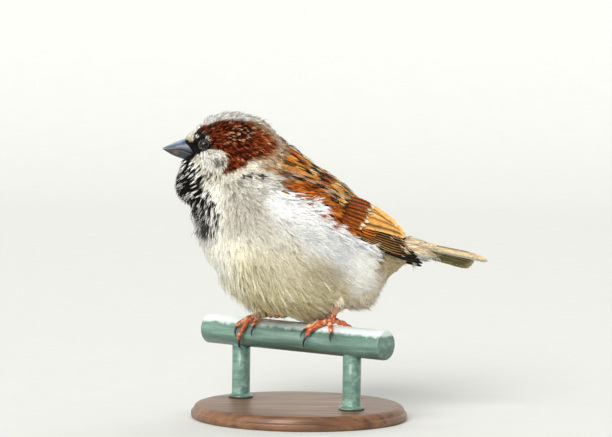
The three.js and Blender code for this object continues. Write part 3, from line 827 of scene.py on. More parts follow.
def tuft_mesh(root, lie, up, length, width, lift, barbs, steps, colours, seed, ruffle=0.12, curve=26.0,
              gather=0.35, contrast=0.16, thick=0.85, rough=1.0):
    """Tufts of thin tapering barbs as points, faces, tints, normals and places on the unwrap."""
    rng = np.random.default_rng(seed)
    n, per_barb = len(root), 2 * steps + 1
    length, width, lift = length[:, None], width[:, None], lift[:, None]

    def vary(spread_of, each=barbs, middle=0.0):
        return rng.normal(middle, spread_of, (n, each))

    across = np.cross(up, lie)
    e = np.linspace(-1, 1, barbs) + vary(0.35 / barbs)
    reach = length * (1 - 0.3 * e**2) * rng.uniform(0.86, 1.08, (n, barbs))
    sway = vary(ruffle) * length * 0.6 + vary(ruffle, 1) * length
    raised = lift * (1 + vary(0.22 * rough)) * (1 + vary(0.2 * rough, 1))
    # barbs at the edge of the side view are turned to face it
    aside = across[:, 1:2] * np.where(root[:, 1:2] < 0, -1, 1)
    twist = (rough * (vary(0.45) + 0.35 * e) - 0.6 * aside)[..., None]
    s = np.linspace(0, 1, steps + 1)
    fan = (0.3 + 0.7 * s**0.5) * (1 - gather * s**2)
    lateral = (width / 2 * e)[..., None] * fan + sway[..., None] * s**2
    forward = reach[..., None] * s
    height = raised[..., None] * (1 - (1 - s) ** 2) - 0.85 * (forward**2 / (2 * curve))
    axis = root[:, None, None]
    for way, amount in ((lie, forward), (across, lateral), (up, height)):
        axis = axis + way[:, None, None] * amount[..., None]
    half = (width / barbs * thick)[..., None] * np.where(s < 0.35, 0.75 + 0.7 * s, 1 - (s - 0.35) * 1.45)
    side = across[:, None] * np.cos(twist) + up[:, None] * np.sin(twist)
    edge = side[:, :, None] * np.maximum(half, 0.02)[..., None]
    pairs = np.stack([axis - edge, axis + edge], 3)[:, :, :-1].reshape(n, barbs, 2 * steps, 3)
    points = np.concatenate([pairs, axis[:, :, -1:]], 2)

    tone = np.clip(vary(contrast, middle=1) * vary(contrast * 0.6, 1, 1), 0.3, 1.6)[..., None, None]
    share = np.append(np.repeat(s[:-1], 2), 1.0)
    root_tint, body_tint, tip_tint = (tint[:, None, None] for tint in colours)
    # from root to tip: the dark root colour is grey down and painted shade deep in the coat
    lower = root_tint + (body_tint - root_tint) * np.minimum(share / 0.45, 1)[:, None]
    upper = body_tint + (tip_tint - body_tint) * ((share - 0.45) / 0.55)[:, None]
    tints = np.where(share[:, None] < 0.45, lower, upper) * tone

    normals = up[:, None] + across[:, None] * (rough * (0.35 * e + vary(0.22)))[..., None]
    normals = normals + lie[:, None] * vary(0.15 * rough, middle=0.05)[..., None]
    normals = np.repeat(unit(normals)[:, :, None], per_barb, 2)

    u = (np.arange(barbs)[:, None] + np.append(np.tile([0.1, 0.9], steps), 0.5)) / barbs
    patch = np.stack(np.broadcast_arrays(u - 0.5, share - 0.5), -1) * PATCH
    unwrap = unwrap_of(root)[:, None, None] + patch

    strip = [(2 * k, 2 * k + 3, 2 * k + 1) for k in range(steps - 1)]
    strip += [(2 * k, 2 * k + 2, 2 * k + 3) for k in range(steps - 1)]
    strip += [(2 * steps - 2, 2 * steps, 2 * steps - 1)]
    faces = np.array(strip) + (np.arange(n * barbs) * per_barb)[:, None, None]
    return [values.reshape(-1, values.shape[-1]) for values in (points, faces, tints, normals, unwrap)]


def coat(name, slot, surface, grows, spacing, sizes, barbs, steps, seed, lean=None, sink=None,
         colours_of=markings, **style):
    """A layer of tufts over a surface where it grows. sizes gives the tufts' length, width and lift."""
    root, up = scatter(surface, grows, spacing, seed)
    if sink is not None:
        root = root - up * sink(root)[:, None]
    lie = lie_of(root, up)
    if lean is not None:
        lie = unit(lie + at(lean, root))
    length, width, lift = (np.broadcast_to(size, len(root)) for size in at(sizes, root))
    # a tuft that points at the eye stops at its ring
    off = (root - EYE_MIDDLE)[:, [0, 2]]
    clear = np.linalg.norm(off, axis=1)
    towards = -(off * lie[:, [0, 2]]).sum(1) / np.maximum(clear, 0.1)
    room = np.maximum(clear - EYE_CLEARANCE, 0.5) / np.maximum(towards, 0.3)
    length = np.where((towards > 0.3) & (clear < 8), np.minimum(length, room), length)
    chance = np.random.default_rng(seed + 2).random(len(root))
    colours = colours_of(root + lie * (length * COLOUR_PLACE)[:, None] + up * lift[:, None], chance)
    mesh = tuft_mesh(root, lie, up, length, width, lift, barbs, steps, colours, seed + 1, **style)
    points, faces, *rest = mesh
    per_tuft, rows = barbs * (2 * steps - 1), barbs * (2 * steps + 1)
    parts = math.ceil(len(root) * per_tuft / MOST_FACES)
    share = math.ceil(len(root) / parts)
    for part in range(parts):
        first, last = part * share, (part + 1) * share
        own = slice(first * rows, last * rows)
        own_faces = faces[first * per_tuft : last * per_tuft] - first * rows
        others = (values[own] for values in rest)
        mesh_piece(f"{name}_{part + 1}", slot, points[own], own_faces, PLUMAGE, *others)


def off_eye(points):
    """Distance of places from the nearer eye's middle in the side view."""
    return np.hypot(points[:, 0] - EYE_MIDDLE[0], points[:, 2] - EYE_MIDDLE[2])


def up_neck(points):
    """How far up the head and neck places are."""
    return points[:, 2] - 0.36 * (points[:, 0] + 31)


def is_head(points):
    return (up_neck(points) > 66.5) & (points[:, 0] < -3)


def is_back(points):
    return inside(BACK_PATCH, points) > 0.5


def bill_hole(points):
    """True under the bill, where nothing grows."""
    z = points[:, 2]
    return (behind_bill(points) < 0.15) & (z > 75.0) & (z < 84.2)


def is_throat(points):
    """The ruffled chin, throat and bib, with the cheek's lower edge."""
    ruffled = np.maximum(inside(BIB_PATCH, points), inside(MALAR_PATCH, points) - 0.5) > -0.8
    return ruffled & ~bill_hole(points)


def on_face(points):
    near_bill = is_head(points) & (off_bill(points) < 17) & ~bill_hole(points)
    return near_bill & (off_eye(points) > 2.2) & ~is_throat(points)


def on_crown(points):
    return is_head(points) & (off_bill(points) >= 17) & ~is_throat(points)


def on_trunk(points):
    return ~is_head(points) & ~is_back(points) & ~is_throat(points)


def has_locks(points):
    x, _, z = points.T
    return is_throat(points) & (z > 58) & (z < 75) & (x < -42)


def at_wing_edge(points):
    x, h = seen(points)
    below = table(WING_EDGE, x) - h
    return (below > 1.0) & (near_line(WING_EDGE, points) < 6.0) & (x > -11) & (x < 31)


def is_low(points):
    """The underside, where loose wisps hang."""
    x, h = seen(points)
    over_toe = (x > -19) & (x < -1) & (h < 15)
    behind_leg = (x > 9) & ((x < 24) | (h < 13))
    return (h < 33 - 0.1 * (x + 10)) & (x > -34) & (x < 33) & ~over_toe & ~behind_leg


def is_skirt(points):
    """The lower edge of the flank behind the legs, where long loose wisps hang."""
    x, h = seen(points)
    edge = table([(15, 11), (21, 13.8), (27, 18.6), (34, 23.4), (38, 26.5)], x)
    return (x > 17.5) & (x < 35) & (h < edge + 6.5)


def is_rump(points):
    x, y, z = points.T
    return (ramp(x, 30, 33) > 0) & (z > 0.18 * (48 - x) + 35.5) & (np.abs(y) < 10)


def sized(length, width, lift, least=0.85, size=0.8, seed=77):
    """Tufts of one size, give or take."""
    def sizes(points):
        vary = least + 2 * (1 - least) * noise(points, size, seed)
        return length * vary, width, lift * vary
    return sizes


def face_sizes(points):
    grow = ramp(off_bill(points), 6, 20)
    return 1.2 + 1.7 * grow, 0.55 + 0.5 * grow, 0.3 + 0.5 * grow


def crown_sizes(points):
    x, _, z = points.T
    grow = ramp(x, -38, -8)
    crest = ramp(z - 0.05 * (x + 30) ** 2 / 6, 86, 90)
    return 2.4 + 2.0 * grow, 0.65 + 0.5 * grow, 0.85 + 0.55 * grow + 0.8 * crest


def throat_sizes(points):
    x, _, z = points.T
    ruff = fall(x, -48, -40) * ramp(z, 58, 63) * fall(z, 72, 77)
    size, breast = fall(z, 68, 76), fall(z, 54, 59) * fall(x, -42, -36)
    lift = 0.4 + 0.45 * size + 0.1 * ruff + 2.4 * breast
    return 2.2 + 2.2 * size + 1.3 * ruff + 1.4 * breast, 0.45 + 0.2 * size, lift


def lock_sizes(points):
    middle = ramp(points[:, 2], 58, 63) * fall(points[:, 2], 71, 75)
    return 2.6 + 2.2 * middle, 0.4, 0.6 + 0.8 * middle


def trunk_sizes(points):
    x, _, z = points.T
    low, rear = fall(z, 20, 50), 1 - 0.5 * ramp(x, 22, 36)
    raised = 0.9 * fall(x, -38, -32) + 1.3 * (fall(z, 24, 34) * fall(x, -27, -20))
    return (6.0 + 2.0 * low) * rear, 1.35 + 0.3 * low, (2.2 + 0.7 * low) * rear + raised


def back_sizes(points):
    fore = fall(points[:, 0], -4, 2)
    return 5.0 - 0.8 * fore, 2.2 - 1.1 * fore, 0.8 + 0.9 * fore


def skirt_sizes(points):
    """Wisps longest half way along the edge."""
    long = table([(17, 3.6), (20, 6.2), (23, 8.2), (27, 6.6), (31, 3.8), (35, 1.4)], points[:, 0])
    return long * (0.7 + 0.5 * noise(points, 0.9, 78)), 0.9 + 0.05 * long, 1.3


def wisp_sizes(points):
    vary = 0.7 + 0.6 * noise(points, 0.9, 79)
    rear, front = ramp(points[:, 0], 14, 24), fall(points[:, 0], -18, -6)
    return (8.5 - 4.3 * rear) * vary, 0.9, (3.4 + 1.2 * front - 1.6 * rear) * vary


def throat_lean(points):
    """The throat's feathers are raised off it, forwards."""
    x, _, z = points.T
    raised = fall(x, -47, -41) * ramp(z, 56, 62) * fall(z, 72, 75.5)
    return np.stack([-0.6 * raised, 0 * x, -0.1 * raised], -1)


def lock_lean(points):
    """Locks stand off the throat, forward and a little down."""
    x, y, z = points.T
    return np.stack([-0.75 + 0 * x, np.sign(y) * -0.05, -0.25 - 0.35 * ramp(z, 64, 72)], -1)


def fluff_sink(points):
    """The fluff rises from inside the flank's coat."""
    return 0.3 + 2.0 * ramp(near_line(WING_EDGE, points), 2.2, 5.6)


root_tint, body_tint, _ = markings(skin.points)
mesh_piece("skin", "breast_feathers", skin.points, skin.faces, DOWNY_SKIN, root_tint * 0.8 + body_tint * 0.15,
           unwrap=unwrap_of(skin.points), nodes=FLESH)
coat("coat_face", "crown_feathers", skin, on_face, lambda p: 0.36 + 0.012 * off_bill(p), face_sizes, 4, 3, 21,
     curve=11.0)
coat("coat_head", "crown_feathers", skin, on_crown, 0.5, crown_sizes, 5, 3, 22, curve=15.0, contrast=0.22)
coat("coat_throat", "breast_feathers", skin, is_throat, 0.62, throat_sizes, 4, 4, 26, throat_lean, gather=0.8,
     contrast=0.2, ruffle=0.07, curve=45.0)
coat("throat_locks", "breast_feathers", skin, has_locks, 0.82, lock_sizes, 2, 5, 27, lock_lean,
     colours_of=lock_colours, gather=0.75, contrast=0.1, ruffle=0.035, curve=300.0, thick=1.0, rough=0.6)
coat("coat_neck", "breast_feathers", skin, lambda p: on_trunk(p) & (up_neck(p) > 52), 0.74, (4.6, 1.35, 1.7),
     6, 4, 23, gather=0.45, contrast=0.13, rough=0.6)
coat("coat_trunk", "breast_feathers", skin, lambda p: on_trunk(p) & (up_neck(p) <= 52), 0.8, trunk_sizes,
     7, 4, 24, ruffle=0.14, gather=0.4, contrast=0.08, rough=0.4)
coat("coat_back", "back_feathers", skin, lambda p: is_back(p) & ~is_head(p),
     lambda p: np.where(p[:, 0] < 0, 0.8, 1.3), back_sizes, 7, 3, 25)


# ---------- feathers with a quill ----------
def each(value, plain=0):
    """A value for all feathers, or one for each, shaped to go with the places along them."""
    value = np.asarray(value, float)
    return value[:, None] if value.ndim > plain else value


def along_axis(values, s):
    """Values given at even steps along each feather, read at shares s of its length."""
    steps = values.shape[1]
    place = np.clip(s, 0, 1) * (steps - 1)
    low = np.minimum(place.astype(int), steps - 2)
    part = (place - low)[..., None]
    rows = np.arange(len(values))[:, None]
    return values[rows, low] * (1 - part) + values[rows, low + 1] * part


def vane_profile(s, shoulder, blunt):
    """A vane's half width along it, from 0 to 1: out from the quill, full, then rounded off."""
    rise = np.clip(s / 0.3, 0, 1) ** 0.5
    end = np.clip((s - shoulder) / (1 - shoulder), 0, 1)
    return (0.3 + 0.7 * rise) * np.sqrt(np.maximum(1 - end**blunt, 0))


class Look:
    """The colours of a set of feathers: a centre, margins down the sides, a tip and a darker root."""

    def __init__(self, centre, edge, edge_share, tip_share, tip=None, root=None, quill=None, lower_only=False,
                 soft=0.1, mottle=0.12):
        tip = edge if tip is None else tip
        root = centre * 0.6 if root is None else root
        quill = centre * 0.7 if quill is None else quill
        self.tones = [each(colour(tone), 1) for tone in (centre, edge, tip, root, quill)]
        self.starts = 1 - each(edge_share), 1 - each(tip_share)
        self.lower_only, self.soft, self.mottle = lower_only, soft, mottle

    def at(self, s, e, seed):
        centre, edge, tip, root, _ = self.tones
        start, tip_start = self.starts
        own = np.broadcast_to(np.arange(len(s))[:, None], s.shape) * 7.3
        grain = streaks(s * 24, e * 3, own, 1.0, seed)
        side = (-e if self.lower_only else np.abs(e)) + 0.1 * (grain - 0.5)
        margin = ramp(side, start - self.soft, start + self.soft)
        end = ramp(s + 0.03 * (grain - 0.5), tip_start - 0.06, tip_start + 0.03)
        made = blend(root, blend(centre, edge, margin, tip, end), ramp(s, 0.02, 0.3))
        return made * (1 + self.mottle * (2 * grain - 1))[..., None]


def vane_mesh(axis, side, up, width, look, barbs, seed, shoulder=0.6, blunt=2.2, loose=0.5, camber=0.3):
    """Feathers as quills with barbs. axis, side and up run down each feather; width is its full width."""
    rng = np.random.default_rng(seed)
    n = len(axis)
    width = np.broadcast_to(width, n)[:, None]
    length = np.linalg.norm(np.diff(axis, axis=1), axis=2).sum(1)[:, None]
    slant = np.clip(0.75 * width / length, 0.05, 0.45)[..., None]
    t = np.array([0, 0.4, 0.8, 1.0])
    rows = 2 * len(t)
    thick = 0.75 / barbs * np.array([1, 1, 1 - 0.25 * loose, 1 - 0.75 * loose])
    cells = math.ceil(math.sqrt(n))
    meshes = []

    def vary(spread_of, middle=0.0):
        return rng.normal(middle, spread_of, (n, barbs))

    def sheet(s, e, out, lift, lean, tints, strip, per):
        """Adds places at shares s of the length, out aside and lifted up, with normals that lean aside."""
        aside, upward = along_axis(side, s), along_axis(up, s)
        points = along_axis(axis, s) + aside * out[..., None] + upward * lift[..., None]
        normals = unit(upward + aside * lean[..., None])
        faces = np.array(strip) + (np.arange(s.size // per) * per)[:, None, None]
        row, column = np.divmod(np.arange(n)[:, None], cells)
        unwrap = np.stack([column + 0.5 + 0.42 * e, row + 0.05 + 0.9 * s], -1) / cells
        tints = np.broadcast_to(tints, points.shape)
        meshes.append([v.reshape(-1, v.shape[-1]) for v in (points, faces, tints, normals, unwrap)])

    for q in (-1, 1):
        root_s = (0.02 + 0.97 * (np.arange(barbs) + 0.5) / barbs + vary(0.2 / barbs))[..., None]
        reach, lift = 1 + vary(0.015 + 0.07 * loose), vary(0.02 + 0.05 * loose)
        middle = root_s + slant * t * (1.25 - root_s) + vary(0.25 * loose / barbs)[..., None] * t
        s = np.clip(np.stack([middle - thick, middle + thick], -1).reshape(n, -1), 0, 0.995)
        e = np.repeat(q * t * reach[..., None], 2, -1).reshape(n, -1)
        raised = np.repeat(lift[..., None] * t, 2, -1).reshape(n, -1)
        full = width / 2 * vane_profile(s, shoulder, blunt)
        jitter = np.repeat(vary(0.05 + 0.1 * loose), rows, 1)
        tints = look.at(s, e, seed) * np.repeat(vary(0.05, 1), rows, 1)[..., None]
        strip = []
        for a in range(0, rows - 2, 2):
            near, far = ((1, 3), (3, 2)) if q > 0 else ((3, 1), (2, 3))
            strip += [(a, a + near[0], a + near[1]), (a, a + far[0], a + far[1])]
        sheet(s, e, e * full, raised - camber * e**2 * full, 0.6 * camber * e + jitter, tints, strip, rows)

    # the quill, a low ridge down the middle
    steps = axis.shape[1] * 2
    s = np.broadcast_to(np.repeat(np.linspace(0, 0.96, steps), 3), (n, 3 * steps))
    e = np.broadcast_to(np.tile([-1.0, 0.0, 1.0], steps), s.shape)
    thin = (0.07 + 0.012 * width) * (1.15 - s)
    strip = [corners for k in range(steps - 1) for a in (3 * k, 3 * k + 1)
             for corners in ((a, a + 3, a + 4), (a, a + 4, a + 1))]
    ridge = np.where(e == 0, thin * 0.8, -0.02)
    sheet(s, e * 0.05, e * thin, ridge, 0.6 * e, look.tones[-1], strip, 3 * steps)
    return joined(meshes)


def packed(meshes):
    """Meshes whose unwraps fill the square, as one with the unwraps side by side."""
    cells = math.ceil(math.sqrt(len(meshes)))
    for k, mesh in enumerate(meshes):
        mesh[4] = (mesh[4] * 0.98 + 0.01 + np.array([k % cells, k // cells])) / cells
    return joined(meshes)


def place_vanes(name, slot, mesh, *nodes):
    points, faces, tints, normals, unwrap = mesh
    mesh_piece(name, slot, points, faces, VANES, tints, normals, unwrap, nodes)


# ---------- wings ----------
def wing_row(starts, ends, bend, width, look, barbs, seed, over, tip_over, tilt=0.0, **shape):
    """Long feathers of the folded near wing between places (x, h), over the flank at root and tip."""
    starts, ends = np.array(starts, float), np.array(ends, float)
    share = np.linspace(0, 1, 9)
    run = (ends - starts)[:, None]
    flat = starts[:, None] + run * share[:, None]
    bow = each(np.broadcast_to(bend, len(starts))) * 4 * share * (1 - share)
    flat = flat + np.stack([-run[..., 1], run[..., 0]], -1) * bow[..., None]
    x, h = np.moveaxis(flat, -1, 0)
    points, ups = side_field.surface(x, h + VIEW_TILT * side_field.at(x, h + 0.8))
    points = points + ups * (each(over) + (each(tip_over) - each(over)) * share)[..., None]
    ways = unit(np.gradient(points, axis=1))
    sides = unit(np.cross(ups, ways))
    if tilt:
        ups = unit(ups - sides * tilt)
        sides = unit(np.cross(ups, ways))
    return vane_mesh(points, sides, ups, width, look, barbs, seed, **shape)


def near_wing(seed):
    """The folded near wing's long feathers, from the lowest layer up."""
    rng = np.random.default_rng(seed)
    flat = {"camber": 0.04, "tilt": -0.07, "loose": 0.12}

    def uneven(ends, amount, slope):
        return ends + rng.normal(0, amount, (len(ends), 1)) * np.array([1, slope])

    def mixed(base, other, count):
        return tones(base, other, rng.random(count))

    # blackish tips beyond the rest
    layer = 0.1 * np.arange(7)
    strip = Look(mixed(SOOT * 0.3, SOOT * 0.8, 7), "#5b4722", 0.04, 0.01, SOOT, lower_only=True, soft=0.03)
    starts, ends = spread((24, 42.5), (24, 47.0), 7), spread((51.6, 32.1), (44.6, 41.2), 7)
    primaries = wing_row(starts, ends, -0.02, np.linspace(2.3, 2.9, 7), strip, 64, seed + 1,
                         layer - 0.6, layer - 0.55, shoulder=0.7, blunt=1.5, **flat)
    # dark strips with thin golden edges
    ends = uneven(spread((43.6, 36.2), (43.0, 42.8), 8), 0.5, -0.33)
    pale = mixed("#cf8530", "#f0c884", 8)
    layer = 0.15 + 0.12 * np.arange(8)
    strip = Look(mixed(SOOT * 0.4, "#2a1a0f", 8), pale, 0.09, 0.01, SOOT, lower_only=True, soft=0.04)
    secondaries = wing_row(spread((20.5, 46.2), (18, 51.5), 8), ends, -0.012, 3.2, strip, 70, seed + 2,
                           layer, layer, shoulder=0.75, blunt=1.6, **flat)
    # dark with orange edges, ending unevenly over the secondaries
    ends = uneven(spread((31.5, 42.2), (28.5, 51.5), 9), 1.0, -0.3)
    rim = mixed(ORANGE_BUFF, RUFOUS, 9)
    layer = 0.12 * np.arange(9)
    strip = Look(mixed("#2b180d", "#6a3512", 9), rim, 0.3, 0.03, rim * 0.7, lower_only=True, soft=0.14,
                 mottle=0.2)
    greater_coverts = wing_row(spread((18, 49.0), (16, 56.0), 9), ends, -0.01, 2.7, strip, 50, seed + 4,
                               1.25 + layer, 1.2 + layer, shoulder=0.6, blunt=1.4, **flat)
    # golden, with dark streaks by their quills
    gold = tones("#f3b052", "#fad896", [0.3, 0.1, 0.6, 0.3])
    streaked = Look(tones("#3a2413", "#a8682c", [0.1, 0.7, 0.5, 0.9]), gold, [0.62, 0.72, 0.74, 0.8], 0.04,
                    root=gold * 0.8, quill="#8d5a2a", soft=0.2, mottle=0.22)
    starts = [(18, 50.2), (18, 52.6), (19, 55.2), (20, 57.4)]
    ends = [(43.4, 43.0), (43.0, 44.8), (40.8, 47.2), (37.0, 50.0)]
    tertials = wing_row(starts, ends, [0.0, 0.02, 0.03, 0.03], [4.6, 4.8, 5.0, 4.4], streaked, 80, seed + 3,
                        [2.3, 2.5, 2.7, 2.8], [1.6, 1.7, 1.8, 1.8], shoulder=0.7, loose=0.35, camber=0.12)
    # black with the white tips that make the wing bar
    ends = uneven(spread((24.5, 45.6), (29.6, 55.0), 8), 0.35, -0.3)
    centre, edge = mixed("#2b180d", "#74380f", 8), mixed("#a5561c", RUFOUS, 8)
    tip_share = 0.19 * rng.random(8) - 0.02
    barred = Look(centre, edge, 0.46, tip_share, mixed("#fff8e8", PALE_BUFF, 8), soft=0.2, mottle=0.25)
    layer = 0.1 * np.arange(8)
    median_coverts = wing_row(spread((15.0, 50.4), (18, 58.0), 8), ends, 0.0, 2.5, barred, 30, seed + 5,
                              2.3 + layer, 2.6 + layer, shoulder=0.45, blunt=1.6, loose=0.9, camber=0.1)
    return packed([primaries, secondaries, greater_coverts, tertials, median_coverts])


def far_wing(seed):
    """A wing for the other side, folded a little lower."""
    flip = np.array([1, -1, 1])
    points, faces, tints, normals, unwrap = near_wing(seed)
    points = points * flip
    points[:, 2] -= 2.4 * ramp(points[:, 0], 8, 30)
    return points, faces[:, ::-1], tints, normals * flip, unwrap


# ---------- tail ----------
TAIL_FOOT = np.array([43.0, 0.0, 41.0])
TAIL_YAW, TAIL_PITCH = math.radians(17), math.radians(11)
TAIL_DROOP = {-1: math.radians(13), 1: math.radians(46)}
TAIL_LENGTH = {-1: 37.4, 1: 34.6}


def rotated(a, b, angle):
    return a * math.cos(angle) - b * math.sin(angle), a * math.sin(angle) + b * math.cos(angle)


def tail_place(side, long, wide, high):
    """Places on one slope of the tail's roof: along it, out from its ridge, and over it."""
    out, z = rotated(wide, high, -TAIL_DROOP[side])
    x, z = rotated(long, z, -TAIL_PITCH)
    return TAIL_FOOT + np.stack([*rotated(x, side * out, TAIL_YAW), z], -1)


def tail_row(side, roots, tips, width, bow, layer, look, seed, under=False, **shape):
    """Feathers on one slope of the tail. roots and tips are (along, out from the ridge)."""
    share = np.linspace(0, 1, 9)
    long = roots[:, :1] + (tips - roots)[:, :1] * share
    wide = roots[:, 1:] + (tips - roots)[:, 1:] * share + bow * 4 * share * (1 - share)
    points = tail_place(side, long, wide, each(layer) + 0 * long)
    up = unit(tail_place(side, long, wide, each(layer) + 1 + 0 * long) - points) * (-1 if under else 1)
    sides = unit(np.cross(up, unit(np.gradient(points, axis=1))))
    return vane_mesh(points, sides, up, width, look, 60, seed, shoulder=0.9, blunt=2.6, **shape)


def tail_side(side, seed):
    """Six tail feathers, the middle one on top, with greyer ones outwards; their undersides are dark olive
    with painted shade and a greenish painted reflection.
    """
    rng = np.random.default_rng(seed)
    k = np.arange(6)
    roots = np.stack([-4.0 + 0 * k, 0.5 + 0.45 * k], -1)
    tips = np.stack([2.2 * np.sin(k / 5 * 2.4) - 2.0, 0.9 + (1.05 if side < 0 else 1.25) * k], -1)
    tips[0, 0] = -2.6
    tips[:, 0] += TAIL_LENGTH[side]
    width = 4.6 - 0.25 * np.abs(k - 2)
    outer = ramp(k, 2.0, 3.6)
    centre = blend(tones("#a98a60", "#d2b887", rng.random(6)), "#6f665a", outer)
    edge = blend(tones("#f7e6c0", "#ead5a8", rng.random(6)), "#a79c88", outer * 0.85)
    top = Look(centre, edge, 0.4, 0.03, quill="#6a5238", soft=0.2, mottle=0.2)
    # the undersides' dark olive is painted shade with a greenish reflected tint
    below = Look(tones("#5d5738", "#706842", rng.random(6)), "#b9ad80", 0.12, 0.03, soft=0.08)
    layer = 1.25 - 0.16 * k
    shown = tail_row(side, roots, tips, width, 0.15, layer, top, seed + 1, loose=0.15, camber=0.12)
    hidden = tail_row(side, roots, tips, width, 0.15, layer - 0.1, below, seed + 2, True, loose=0.15,
                      camber=-0.12)
    return [shown, hidden]


def tail_coverts(seed, count=26):
    """Soft sandy feathers that swell over the root of the tail."""
    rng = np.random.default_rng(seed)
    meshes = []
    for side in (-1, 1):
        out = rng.uniform(0.2, 4.4, count)
        roots = np.stack([rng.uniform(-8, 3, count), out], -1)
        tips = np.stack([roots[:, 0] + rng.uniform(9, 13, count), out * 1.1], -1)
        centre = tones("#c4a276", "#e0c698", rng.random(count))
        edge = tones("#e6d0a4", "#f7e9c8", rng.random(count))
        look = Look(centre, edge, 0.5, 0.1, soft=0.3, mottle=0.2)
        layer = 2.1 + 0.3 * rng.random(count) - 0.06 * out - 0.08 * roots[:, 0]
        row = tail_row(side, roots, tips, 3.0, 0.0, layer, look, seed + 5 + side, loose=0.9, camber=0.45)
        meshes.append(row)
    return meshes


place_vanes("wing_near", "wing_feathers", near_wing(60), *(name for name in WINGS if "left" in name))
place_vanes("wing_far", "wing_feathers", far_wing(70), *(name for name in WINGS if "right" in name))
place_vanes("tail", "tail_feathers", packed(tail_side(-1, 80) + tail_side(1, 84)), "tail_left", "tail_right",
            "tail_middle")
place_vanes("tail_coverts", "rump_feathers", packed(tail_coverts(90)))

# ---------- tufts over the wings and the rump, and loose wisps ----------
swell, swell_faces, _ = ball(4)
tail_swell = np.array([46.5, 0.8, 38.2]) + swell * [8.5, 5.2, 3.2] + swell[:, :1] * [0, 1.6, -1.7]
tail_root = Surface(tail_swell, swell_faces)
near_thigh = np.array([15.6, -12.9, 18.6]) + swell * [2.8, 2.3, 3.6]
far_thigh = near_thigh * [1, -1, 1] + [-33, 0, 0]
thighs = Surface(*joined([(near_thigh, swell_faces), (far_thigh, swell_faces[:, ::-1])]))

coat("mantle", "back_feathers", shell, lambda p: inside(MANTLE_PATCH, p) > 0, 0.95, sized(7.0, 1.15, 1.0),
     6, 4, 41, colours_of=mantle_colours, gather=0.45, contrast=0.14, ruffle=0.05, curve=40.0)
coat("lesser_coverts", "wing_feathers", shell, lambda p: inside(LESSER_PATCH, p) > 0, 0.8,
     sized(5.0, 1.0, 1.5), 5, 4, 44, sink=lambda p: 1.6 * fall(p[:, 0], -9, 1), colours_of=lesser_colours,
     gather=0.6, contrast=0.16, ruffle=0.08, curve=40.0)
coat("rump_end", "rump_feathers", tail_root, lambda p: p[:, 0] > 40, 0.8, sized(7.5, 1.3, 0.9), 6, 4, 50,
     colours_of=rump_colours, gather=0.45, contrast=0.14, ruffle=0.07, curve=60.0)
coat("flank_fluff", "breast_feathers", shell, at_wing_edge, 0.85, sized(5.6, 1.0, 1.3, 0.6, 0.7, 78), 6, 4,
     53, (0.2, 0, 0.2), fluff_sink, fluff_colours, gather=0.6, contrast=0.05, ruffle=0.16, curve=40.0,
     rough=0.5)
coat("belly_wisps", "breast_feathers", skin, is_low, 1.8, wisp_sizes, 5, 5, 55,
     lambda p: np.array([0, 0, -0.4]) * fall(p[:, :1], 8, 14), gather=0.85, contrast=0.08, ruffle=0.14,
     curve=120.0, rough=0.5)
coat("rear_skirt", "breast_feathers", skin, is_skirt, 0.78, skirt_sizes, 5, 5, 58, (0.1, 0, -1.15),
     colours_of=skirt_colours, gather=0.85, contrast=0.1, ruffle=0.18, curve=300.0, rough=0.5)
coat("thigh_tufts", "breast_feathers", thighs, lambda p: (p[:, 2] > 15.0) & (p[:, 1] < -13.4), 0.62,
     sized(3.9, 1.0, 0.5), 5, 4, 57, (-0.3, 0, -1.5), colours_of=down_colours, gather=0.8, contrast=0.1,
     ruffle=0.16, curve=60.0, rough=0.6)
coat("rump_coat", "rump_feathers", outline, is_rump, 0.95, sized(8.0, 1.5, 1.6), 6, 4, 47,
     colours_of=rump_colours, gather=0.4, contrast=0.14, ruffle=0.07, curve=40.0)

# ---------- bill ----------
CULMEN = ((-44, 85.0), (-47, 84.5), (-49.2, 83.85), (-51.4, 83.1), (-53.7, 82.25), (-55.9, 81.35),
          (-57.4, 80.7), (-58.4, 80.2), (-59.2, 79.75), (-59.45, 79.5))
TOMIUM = ((-44, 77.0), (-47.5, 77.9), (-49.5, 78.6), (-51.5, 79.1), (-53, 79.3), (-56, 79.35), (-58, 79.35),
          (-59.45, 79.45))
KEEL = ((-44, 73.6), (-48.5, 74.6), (-50.6, 75.1), (-53, 75.9), (-55.3, 76.8), (-57.2, 77.9), (-58.3, 78.6),
        (-59.2, 79.2))
BILL_WIDTH = ((-44.0, 4.3), (-48, 3.85), (-50, 3.5), (-52, 3.0), (-54, 2.45), (-56, 1.75), (-57.7, 1.1),
              (-58.8, 0.55), (-59.45, 0.12))
SLATE = colour("#42506a")
RIDGE_HIGHLIGHT = colour("#95a6b9")
HORN = colour("#8f7a66")
DARK_SLATE = colour("#2b2f36")
NOSTRIL = (-50.2, 1.9)  # how far along the bill and how far out


